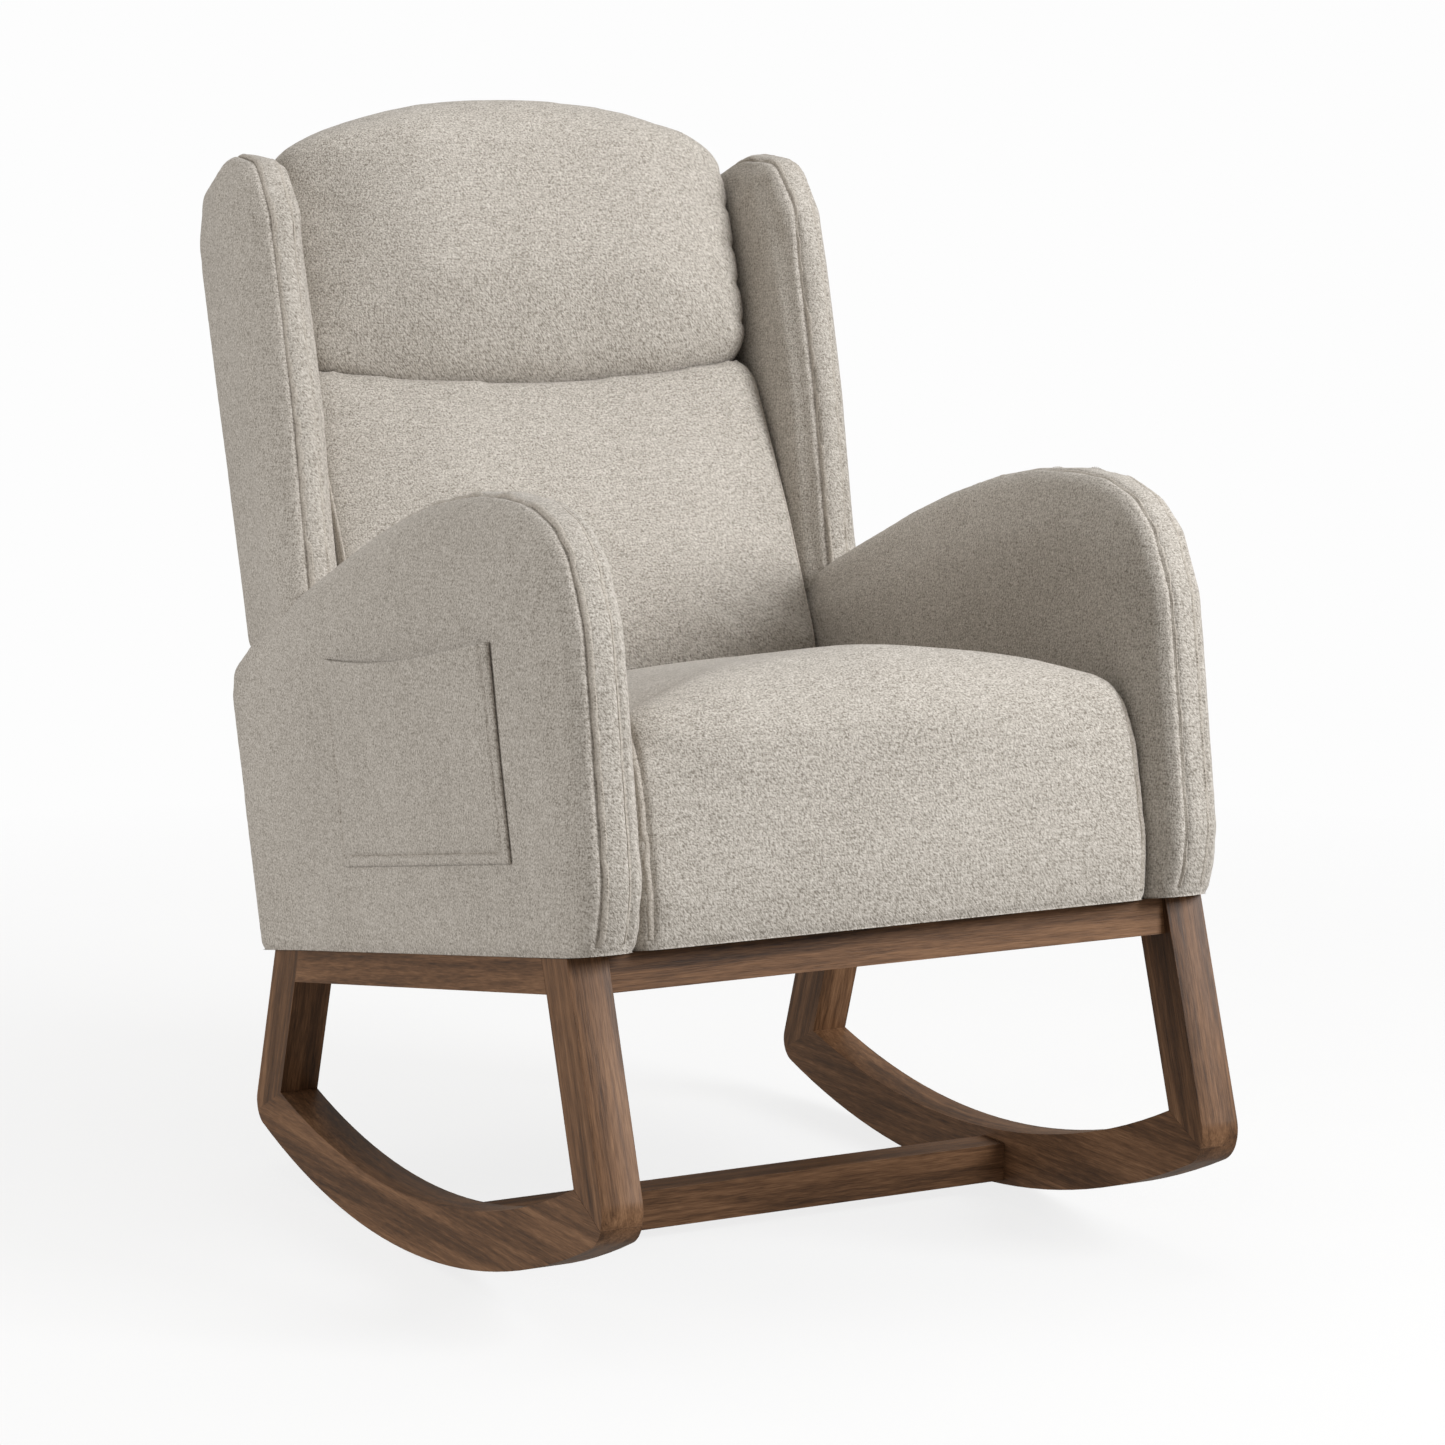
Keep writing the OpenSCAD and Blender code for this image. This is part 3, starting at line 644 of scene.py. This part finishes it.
def steel(name):
    """Bare drawn steel, with fine marks along it."""
    g = Graph(name)
    brush = g.noise(g.stretch(g.place, (40, 900, 900)), 1.0, 3.0, 0.7)
    colour = g.ramp(brush, [(0.3, srgb(128, 130, 133)), (0.7, srgb(176, 178, 180))])
    g.bump(brush, 0.05 * MM, 0.5)
    rough = g.math("ADD", g.math("MULTIPLY", brush, 0.2), 0.25)
    return g.set(Base_Color=colour, Roughness=rough, Metallic=1.0)


def black_lining(name):
    """Thin spun-bonded cloth, as under any upholstered seat."""
    g = Graph(name)
    fibres = g.noise(g.place, 900, 4.0, 0.7)
    cells = g.add("ShaderNodeTexVoronoi")
    g.join(g.place, cells.inputs["Vector"])
    cells.inputs["Scale"].default_value = 420
    holes = g.math("MULTIPLY", cells.outputs["Distance"], 0.4)
    tone = g.math("ADD", g.math("MULTIPLY", fibres, 0.7), holes)
    colour = g.ramp(tone, [(0.3, srgb(24, 24, 26)), (0.75, srgb(58, 58, 61))])
    g.bump(tone, 0.3 * MM, 0.7)
    return g.set(Base_Color=colour, Roughness=0.88, Sheen_Weight=0.1)


linen = upholstery_cloth("linen", srgb(138, 131, 121), srgb(189, 182, 173), srgb(219, 213, 205))
linen_seam = upholstery_cloth("linen_seam", srgb(156, 148, 137), srgb(187, 179, 169), srgb(207, 200, 190))
sewing_thread = upholstery_cloth(
    "sewing_thread", srgb(150, 142, 131), srgb(196, 188, 177), srgb(220, 213, 203))
inner_ply = plywood("inner_plywood")
plain_steel = steel("plain_steel")
lining = black_lining("black_lining")

# ---------------------------------------------------------------- wooden base


def dress(node, material):
    nodes[node].data.materials.clear()
    nodes[node].data.materials.append(material)


def wooden(node, material, edge=1.6 * MM):
    """A CAD node keeps its mesh; modifiers clean its facets and ease its edges."""
    obj = nodes[node]
    weld = obj.modifiers.new("weld", "WELD")
    weld.merge_threshold = 0.05 * MM
    plane = obj.modifiers.new("flat", "DECIMATE")
    plane.decimate_type = "DISSOLVE"
    plane.angle_limit = math.radians(0.3)
    if edge:
        bevel = obj.modifiers.new("eased", "BEVEL")
        bevel.width = edge
        bevel.segments = 3
        bevel.limit_method = "ANGLE"
        bevel.angle_limit = math.radians(35)
        bevel.harden_normals = True
    dress(node, material)


def build_base():
    """The walnut base, each part with its grain along it."""
    front, rear = math.radians(17.8), math.radians(19.5)  # how far the legs lean from upright
    grain = {"front_leg": (0, -math.sin(front), -math.cos(front)),
             "rear_leg": (0, math.sin(rear), -math.cos(rear)), "side_rail": ALONG, "runner": (0, 1, 0)}
    for part, axis in grain.items():
        material = walnut(f"walnut_{part}", axis)
        for side in ("left", "right"):
            wooden(f"{side}_{part}", material)
    across = walnut("walnut_across", X_AXIS)
    for node in ("front_rail", "rear_rail", "runner_stretcher"):
        wooden(node, across)


def build_inside():
    """What the covers hide: plywood, plain steel and black elastic straps."""
    hidden_wood = ("corner_blocks", "frame_dowels", "arm_spacers", "seat_front_board", "seat_rear_board",
                   "seat_side_boards", "left_arm_panel", "right_arm_panel", "back_posts",
                   "back_top_rail", "back_mid_rail", "back_bottom_rail", "left_wing_panel",
                   "right_wing_panel", "wing_spacers")
    for node in hidden_wood:
        wooden(node, inner_ply, edge=0.8 * MM if node != "frame_dowels" else 0)
    for node in ("seat_bolts", "arm_bolts", "body_bolts", "seat_springs", "spring_clips"):
        dress(node, plain_steel)
    dress("back_webbing", lining)


# ---------------------------------------------------------------- arms and wings

SEAM_HELD = 4 * MM  # the skin nearer than this to an arm's or wing's seam isn't blown up
SEAM_DEPTH = 3.2 * MM
SEAM_WIDTH = 2.8 * MM


def arm_cover():
    """The left arm's cover, and its two seam lines up the front and back along the top."""
    lo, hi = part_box("left_arm_pad")
    middle = (lo.x + hi.x) / 2
    cover = hull_copy("left_arm_cover", ["left_arm_pad"], fatten=1.5 * MM, square=True)
    remesh(cover, 5.5 * MM, relax=6)
    fill_rear_corner(cover, middle)
    v, u = from_back(cover)
    smooth_out(cover, 6, (v < 75 * MM) & (u > 150 * MM))

    def keep(p):
        v, u = back_vu(p)
        behind = v < 3 * MM and u < 262 * MM or v < 12 * MM and u < 200 * MM
        return rail_height(p) > 7 * MM and not behind

    band_half = 13.5 * MM
    foot = Vector((0, lo.y, rail_top))
    seams = [slice_line(cover, X_AXIS * (middle + k * band_half), X_AXIS, keep, foot) for k in (-1, 1)]
    on_seam = distance_to(seams, coords(cover)) < SEAM_HELD
    low = above_rails(cover) < 4 * MM
    rear = from_back(cover)[0] < 8 * MM
    inflate(cover, on_seam | low | rear, 2.5 * MM, pressure=3.0)
    refine(cover)
    unevenness(cover, 0.9 * MM, 8, 1)
    puckers(cover, seams, 0.3 * MM, 15 * MM, 9 * MM, 2)
    groove(cover, seams, SEAM_DEPTH, SEAM_WIDTH)
    keep_above(cover, 0.5 * MM)
    tuck_under(cover)
    return cover, seams


def wing_cover():
    """The left wing's cover, and its two seam lines up the front and back over the top."""
    middle = 288 * MM
    cover = hull_copy("left_wing_cover", ["left_wing_pad"], fatten=3.5 * MM)
    remesh(cover, 5 * MM, relax=6)
    fill_rear_corner(cover, middle)
    v, u = from_back(cover)
    smooth_out(cover, 14, (v < 90 * MM) & (u > 690 * MM))
    foot = 12 * MM * np.clip(1 - (u - 290 * MM) / (60 * MM), 0, 1)
    set_coords(cover, coords(cover) - np.outer(foot, UP))

    def keep(p):
        v, u = back_vu(p)
        return v > 14 * MM and (v > 100 * MM or u > 700 * MM) and u > 300 * MM

    turn = math.radians(5)
    plane = X_AXIS * math.cos(turn) - FORE * math.sin(turn)
    start = on_back(middle, 176 * MM, 318 * MM)
    seams = [slice_line(cover, on_back(middle + k * 12.5 * MM, 190 * MM, 500 * MM), plane, keep, start)
             for k in (-1, 1)]
    on_seam = distance_to(seams, coords(cover)) < SEAM_HELD
    v, u = from_back(cover)
    inflate(cover, on_seam | (v < 9 * MM) | (u < 330 * MM), 2.5 * MM, pressure=3.0)
    refine(cover)
    unevenness(cover, 0.8 * MM, 9, 5)
    puckers(cover, seams, 0.3 * MM, 15 * MM, 9 * MM, 6)
    groove(cover, seams, SEAM_DEPTH, SEAM_WIDTH)
    return cover, seams


def fill_rear_corner(obj, middle):
    """Fills out the outer rear corner of a left side piece."""
    co = coords(obj)
    near = np.clip(1 - from_back(obj)[0] / (110 * MM), 0, 1)
    outer = np.clip((co[:, 0] - middle) / (20 * MM), 0, 1)
    co[:, 0] += 6.5 * MM * near * outer
    set_coords(obj, co)


def tuck_under(obj):
    """Rounds a cover's lower edge, where the cloth turns under and is tacked."""
    low = np.clip(1 - above_rails(obj) / (9 * MM), 0, 1)
    no = normals(obj)
    no -= np.outer(no @ np.array(ABOVE), ABOVE)
    set_coords(obj, coords(obj) - no * (3.6 * MM * low**2)[:, None])


def build_sides(what, cover, seams):
    """Adds the seams of a left arm or wing, mirrors it all to the right and finishes both."""
    parts = [(cover, linen)]
    for name, line, k in (("inner", seams[0], 1), ("outer", seams[1], -1)):
        ridge, sewn = seam_ridge(f"left_{what}_{name}_seam", cover, line, lambda p, k=k: X_AXIS * k)
        parts += [(ridge, linen_seam), (sewn, sewing_thread)]
    for obj, material in parts:
        twin = mirrored(obj, obj.name.replace("left_", "right_"))
        for side, piece in (("left", obj), ("right", twin)):
            if piece.name.endswith("cover"):
                stood_for = [f"{side}_{what}_pad", f"{side}_{what}_welts"]
                finish_piece(piece, material, stood_for)
            else:
                finish_piece(piece, material)


# ---------------------------------------------------------------- seat

# the upper edge of the seat's sides in millimetres: in from the side, behind the front, over the rails
SEAT_SHOULDERS = [(6, 26, 172), (9, 46, 189), (12, 80, 198), (14, 240, 195), (16, 420, 190)]


def build_seat():
    """One cover over the seat's cushion, apron and side pads, with a seam at each end of its front."""
    soft = ["seat_cushion", "seat_apron", "seat_side_pads"]
    lo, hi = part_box("seat_cushion")
    front = reach("seat_apron", ALONG)[0]
    shoulders = [X_AXIS * k * (hi.x - inset * MM) + ALONG * (front + s * MM) + ABOVE * (rail_top + t * MM)
                 for k in (-1, 1) for inset, s, t in SEAT_SHOULDERS]
    cover = hull_copy("seat_cover", soft, shoulders, fatten=1 * MM)
    remesh(cover, 6.5 * MM, relax=6)

    def keep(p):
        return rail_height(p) > 7 * MM and back_vu(p)[0] > 215 * MM and p.y < hi.y - 30 * MM

    foot = Vector((0, lo.y, rail_top))
    seams = [slice_line(cover, X_AXIS * k * (hi.x - 10 * MM), X_AXIS, keep, foot) for k in (-1, 1)]
    on_seam = distance_to(seams, coords(cover)) < 5 * MM
    low = above_rails(cover) < 4 * MM
    side = np.abs(coords(cover)[:, 0]) > hi.x - 2 * MM
    rear = from_back(cover)[0] < 206 * MM
    inflate(cover, on_seam | low | side | rear, 5 * MM, pressure=4.0)
    smooth_out(cover, 8)
    smooth_out(cover, 60, (above_rails(cover) > 150 * MM) & (from_back(cover)[0] < 500 * MM))
    refine(cover)
    unevenness(cover, 1.2 * MM, 7, 9)
    puckers(cover, seams, 0.4 * MM, 15 * MM, 11 * MM, 10)
    groove(cover, seams, 3.0 * MM, SEAM_WIDTH)
    keep_above(cover, 0.5 * MM)
    tuck_under(cover)
    finish_piece(cover, linen, soft)
    for name, line, k in (("right", seams[0], -1), ("left", seams[1], 1)):
        finish_seam(seam_ridge(f"seat_{name}_seam", cover, line, lambda p, k=k: X_AXIS * k))


# ---------------------------------------------------------------- back


def seam_u(x):
    """How far up the back the seam between the two cushions runs, at a distance across."""
    return 549 * MM - 23 * MM * np.cos(np.clip(np.abs(x) / (238 * MM), 0, 1) * math.pi / 2) ** 1.3


def to_seam(obj, side, extra):
    """Lets a cushion's edge run on to the seam below or above it."""
    co = coords(obj)
    u = co @ np.array(UP) - back_foot
    near = np.clip(1 - side * (u - seam_u(co[:, 0])) / (34 * MM), 0, 1)
    set_coords(obj, co - side * np.outer(extra * near ** 2, UP))


def build_lower_back():
    """The lower back cushion, with a narrow ridge down each side."""
    cover = welded_copy("back_cover", ["back_cushion"], 1 * MM)
    remesh(cover, 6.5 * MM, relax=5)
    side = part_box("back_cushion")[1].x
    x = coords(cover)[:, 0]
    v, u = from_back(cover)
    edge = (v < v.min() + 8 * MM) | (np.abs(x) > side - 5 * MM) | (u > seam_u(x) - 9 * MM)
    inflate(cover, edge, 5 * MM, pressure=4.0)
    smooth_out(cover, 6)
    to_seam(cover, -1, 4 * MM)
    refine(cover)
    unevenness(cover, 1.3 * MM, 6, 13)
    finish_piece(cover, linen, ["back_cushion"])

    def keep(p):
        v, u = back_vu(p)
        return v > 112 * MM and u > 190 * MM

    lines = [slice_line(cover, X_AXIS * k * (side - 6 * MM), X_AXIS, keep,
                        on_back(k * side, 150 * MM, 200 * MM)) for k in (-1, 1)]
    for name, line, k in (("right", lines[0], -1), ("left", lines[1], 1)):
        finish_seam(seam_ridge(f"back_{name}_seam", cover, line, lambda p, k=k: X_AXIS * k, threads=False))


# how far up the back the folds in the head cushion's sides lie, and how deep each is
GATHERS = [(0.592, 0.9), (0.632, 1.0), (0.672, 0.8), (0.716, 1.0), (0.752, 0.6)]


HEAD_CROWN = 830 * MM  # how far up the back the head cushion's top is


def build_head():
    """The head cushion wraps over the top of the frame, and its sides are gathered into the wings."""
    rear = [on_back(k * 249 * MM, v, u) for k in (-1, 1) for v in (8 * MM, 60 * MM) for u in (0.56, 0.75)]
    for step in range(-20, 21):
        a = step / 20
        x = 240 * MM * a
        top = HEAD_CROWN - 46 * MM * abs(a) ** 2.3
        rear += [on_back(x, 8 * MM, top - 20 * MM), on_back(x, 60 * MM, top - 4 * MM),
                 on_back(x, (142 - 30 * a ** 2) * MM, top)]
    cover = hull_copy("head_cover", ["head_cushion"], rear, fatten=3.0 * MM)
    remesh(cover, 6.5 * MM, relax=22)
    x = coords(cover)[:, 0]
    v, u = from_back(cover)
    edge = (v < 40 * MM) | (np.abs(x) > 250 * MM) | (u < seam_u(x) + 10 * MM)
    inflate(cover, edge, 4 * MM, pressure=4.0)
    smooth_out(cover, 10)
    co = coords(cover)
    low = np.maximum(seam_u(co[:, 0]) - 1 * MM - from_back(cover)[1], 0)
    set_coords(cover, co + np.outer(low, UP))
    refine(cover)
    gather(cover)
    unevenness(cover, 1.2 * MM, 6, 17)
    finish_piece(cover, linen, ["head_cushion"])


def gather(cover):
    """Folds that run in from the sides, where the cloth is pulled together."""
    co = coords(cover)
    v, u = from_back(cover)
    half = np.abs(co[:, 0]).max()
    sink = np.zeros(len(co))
    for at, size in GATHERS:
        for side, strength in ((1, 1.0), (-1, 0.6)):
            inward = np.clip(half - side * co[:, 0], 0, None)
            line = at + side * 4 * MM + 0.16 * inward * (0.66 - at)
            width = 5 * MM + 0.09 * inward
            fold = np.exp(-((u - line) / width) ** 2) * np.exp(-inward / (40 * MM))
            sink += size * strength * 3.2 * MM * fold
    sink *= np.clip((v - 70 * MM) / (30 * MM), 0, 1)
    set_coords(cover, co - normals(cover) * sink[:, None])


def build_outside_back():
    """The rear panel: cloth pulled over a board, slightly crowned, with a seam round it."""
    cover = welded_copy("outside_back_cover", ["outside_back"], 0.0)
    remesh(cover, 3 * MM, relax=1)
    middle = on_back(0, 2.2 * MM, 0)
    rim = slice_line(cover, middle, FORE, lambda p: True, on_back(0.3, 0, 0), step=4 * MM)
    rim.append(rim[0])
    co = coords(cover)
    far = distance_to([rim], co)
    facing = np.clip(-(normals(cover) @ np.array(FORE)), 0, 1)
    crown = 6 * MM * (1 - np.exp(-far / (45 * MM)))
    seam = 1.6 * MM * np.exp(-(((far - 13 * MM) / (2.4 * MM)) ** 2))
    set_coords(cover, co - np.outer((crown - seam) * facing, FORE))
    unevenness(cover, 0.5 * MM, 7, 21)
    finish_piece(cover, linen, ["outside_back"])
    heart = on_back(0, 0, 0.4)
    tree = surface(cover)
    line = []
    for p in rim:
        inner = p + (heart - p).normalized() * 17 * MM
        hit = tree.ray_cast(inner - FORE * 0.1, FORE)[0]
        if hit:
            line.append(hit)
    finish_seam(seam_ridge("outside_back_seam", cover, line, lambda p: p - heart))


# ---------------------------------------------------------------- pockets


POCKET_W, POCKET_H, POCKET_LEAN = 370 * MM, 190 * MM, 10 * MM
POCKET_HEM = 9.5 * MM  # from the edge to the stitches


def build_pocket(side, k):
    """A patch of cloth sewn on along three sides, standing off the arm at its mouth."""
    arm = surface(bpy.data.objects[f"{side}_arm_cover"])
    corner_s = reach(f"{side}_pocket", ALONG)[0]
    corner_t = reach(f"{side}_pocket", ABOVE)[0]

    def on_arm(a, b, lift):
        """A point a share along the pocket and b up it, at a height over the arm."""
        dip = 9 * MM * math.sin(math.pi * a) * b ** 3
        s = corner_s + POCKET_LEAN * b + POCKET_W * a
        t = corner_t + (POCKET_H + 5 * MM * a) * b - dip
        base = ALONG * s + ABOVE * t
        return arm.ray_cast(Vector((k * 0.5, base.y, base.z)), X_AXIS * -k)[0] + X_AXIS * k * lift

    def cloth_height(a, b):
        """How far the cloth stands off: a belly, an open mouth, a turned edge and a sewn dent."""
        edge = min(a * POCKET_W, (1 - a) * POCKET_W, b * POCKET_H)
        belly = 1 - math.exp(-max(edge - 11 * MM, 0) / (22 * MM))
        mouth = 10.0 * MM * b ** 3 * math.sin(math.pi * a) ** 0.5
        sewn = math.exp(-(((edge - POCKET_HEM) / (1.9 * MM)) ** 2))
        turned = 2.2 * MM * (1 - math.exp(-((edge / (2.2 * MM)) ** 2)))
        return 1.4 * MM + turned + 2.4 * MM * belly + mouth - 2.9 * MM * sewn

    columns, rows = 220, 114
    spots = [(i / columns, j / rows) for j in range(rows + 1) for i in range(columns + 1)]
    points = [on_arm(a, b, cloth_height(a, b)) for a, b in spots]
    pocket = mesh_object(f"{side}_pocket_cloth", points, grid_faces(columns, rows))
    solid = pocket.modifiers.new("cloth", "SOLIDIFY")
    solid.thickness = 2.6 * MM
    solid.offset = 0
    apply_modifiers(pocket)
    outwards(pocket)
    finish_piece(pocket, linen, [f"{side}_pocket"])
    hem_a, hem_b = POCKET_HEM / POCKET_W, POCKET_HEM / POCKET_H
    path = [(hem_a, 1 - step / 40) for step in range(1, 38)]
    path += [(hem_a + step / 60 * (1 - 2 * hem_a), hem_b) for step in range(61)]
    path += [(1 - hem_a, step / 40) for step in range(3, 40)]
    skin = surface(pocket)
    rails = [(skin.ray_cast(on_arm(a, b, 0.1), X_AXIS * -k)[0], X_AXIS * k, X_AXIS * 0) for a, b in path]
    sewn = stitches(f"{side}_pocket_stitches", skin, rails, lift=0.35 * MM)
    finish_piece(sewn, sewing_thread)


# ---------------------------------------------------------------- underside


def build_dust_cover():
    """Thin black cloth tacked under the seat, sagging a little."""
    lo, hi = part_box("dust_cover")
    front, rear = reach("dust_cover", ALONG)
    height = reach("dust_cover", ABOVE)[0] + 1 * MM
    columns, rows = 40, 44
    points = []
    for j in range(rows + 1):
        for i in range(columns + 1):
            a, b = i / columns, j / rows
            x = lo.x + (hi.x - lo.x) * a
            s = front * (1 - b) + rear * b
            sag = 7 * MM * (16 * a * (1 - a) * b * (1 - b)) ** 0.7
            points.append(X_AXIS * x + ALONG * s + ABOVE * (height - sag))
    cloth = mesh_object("dust_cover_cloth", points, grid_faces(columns, rows))
    solid = cloth.modifiers.new("cloth", "SOLIDIFY")
    solid.thickness = 0.8 * MM
    apply_modifiers(cloth)
    finish_piece(cloth, lining, ["dust_cover"])


# ---------------------------------------------------------------- set


def build_floor():
    """A round pale floor that fades into the white studio."""
    bpy.ops.mesh.primitive_plane_add(size=8, location=(0, 0, 0))
    floor = bpy.context.object
    floor.name = "floor"
    g = Graph("pale_floor")
    tone = g.noise(g.place, 3, 2.0)
    colour = g.ramp(tone, [(0.3, srgb(247, 247, 247)), (0.7, srgb(250, 250, 250))])
    far = g.add("ShaderNodeVectorMath", operation="LENGTH")
    g.join(g.place, far.inputs[0])
    fade = g.math("DIVIDE", g.math("SUBTRACT", far.outputs["Value"], 0.9), 1.6, clamp=True)
    cover = g.math("MULTIPLY", g.math("SUBTRACT", 1.0, fade), 0.18)
    g.set(Base_Color=colour, Roughness=0.9, Specular_IOR_Level=0.1, Alpha=cover)
    floor.data.materials.append(g.material)


def area_light(name, place, target, size, power):
    """A soft box at a place, turned to its target."""
    light = bpy.data.lights.new(name, "AREA")
    light.shape = "RECTANGLE"
    light.size, light.size_y = size
    light.energy = power
    obj = bpy.data.objects.new(name, light)
    scene.collection.objects.link(obj)
    obj.location = place
    obj.rotation_euler = (Vector(target) - Vector(place)).to_track_quat("-Z", "Y").to_euler()


def build_lights():
    """A key from the front right, a low fill, a weak top light and a dim world that looks white."""
    middle = (0, 0, 0.55)
    area_light("key", (2.1, -3.1, 2.35), middle, (1.8, 1.8), 153)
    area_light("fill", (-3.4, 0.4, 0.7), middle, (1.6, 1.0), 43)
    area_light("top", (0.4, 0.2, 3.6), middle, (2.4, 2.4), 25)
    bpy.data.lights["key"].color = (0.97, 0.985, 1.0)
    world = bpy.data.worlds.new("studio")
    scene.world = world
    world.use_nodes = True
    tree = world.node_tree
    lit = tree.nodes["Background"]
    lit.inputs["Strength"].default_value = 0.38
    height = tree.nodes.new("ShaderNodeSeparateXYZ")
    tree.links.new(tree.nodes.new("ShaderNodeTexCoord").outputs["Generated"], height.inputs[0])
    sky = tree.nodes.new("ShaderNodeValToRGB")
    sky.color_ramp.elements[0].position = 0.0
    sky.color_ramp.elements[0].color = (0.8, 0.76, 0.7, 1)
    sky.color_ramp.elements[1].position = 0.5
    sky.color_ramp.elements[1].color = (1, 0.965, 0.915, 1)
    tree.links.new(height.outputs["Z"], sky.inputs[0])
    tree.links.new(sky.outputs["Color"], lit.inputs["Color"])
    seen = tree.nodes.new("ShaderNodeBackground")
    seen.inputs["Color"].default_value = srgb(253, 253, 253)
    seen.inputs["Strength"].default_value = 1.0
    path = tree.nodes.new("ShaderNodeLightPath")
    mix = tree.nodes.new("ShaderNodeMixShader")
    tree.links.new(path.outputs["Is Camera Ray"], mix.inputs[0])
    tree.links.new(lit.outputs[0], mix.inputs[1])
    tree.links.new(seen.outputs[0], mix.inputs[2])
    tree.links.new(mix.outputs[0], tree.nodes["World Output"].inputs["Surface"])


def build_camera():
    """The camera that was fitted to the photo's wooden base."""
    camera = bpy.data.cameras.new("camera")
    camera.lens = 100.07
    camera.sensor_width = 36
    camera.clip_end = 100
    obj = bpy.data.objects.new("camera", camera)
    scene.collection.objects.link(obj)
    obj.location = (-1.7507, -3.3958, 0.99985)
    obj.rotation_euler = (math.radians(81.97), 0, math.radians(-28))
    scene.camera = obj


build_camera()
build_base()
build_inside()
build_sides("arm", *arm_cover())
build_sides("wing", *wing_cover())
build_seat()
build_lower_back()
build_head()
build_outside_back()
build_pocket("left", 1)
build_pocket("right", -1)
build_dust_cover()
build_floor()
build_lights()
scene.view_settings.view_transform = "Standard"
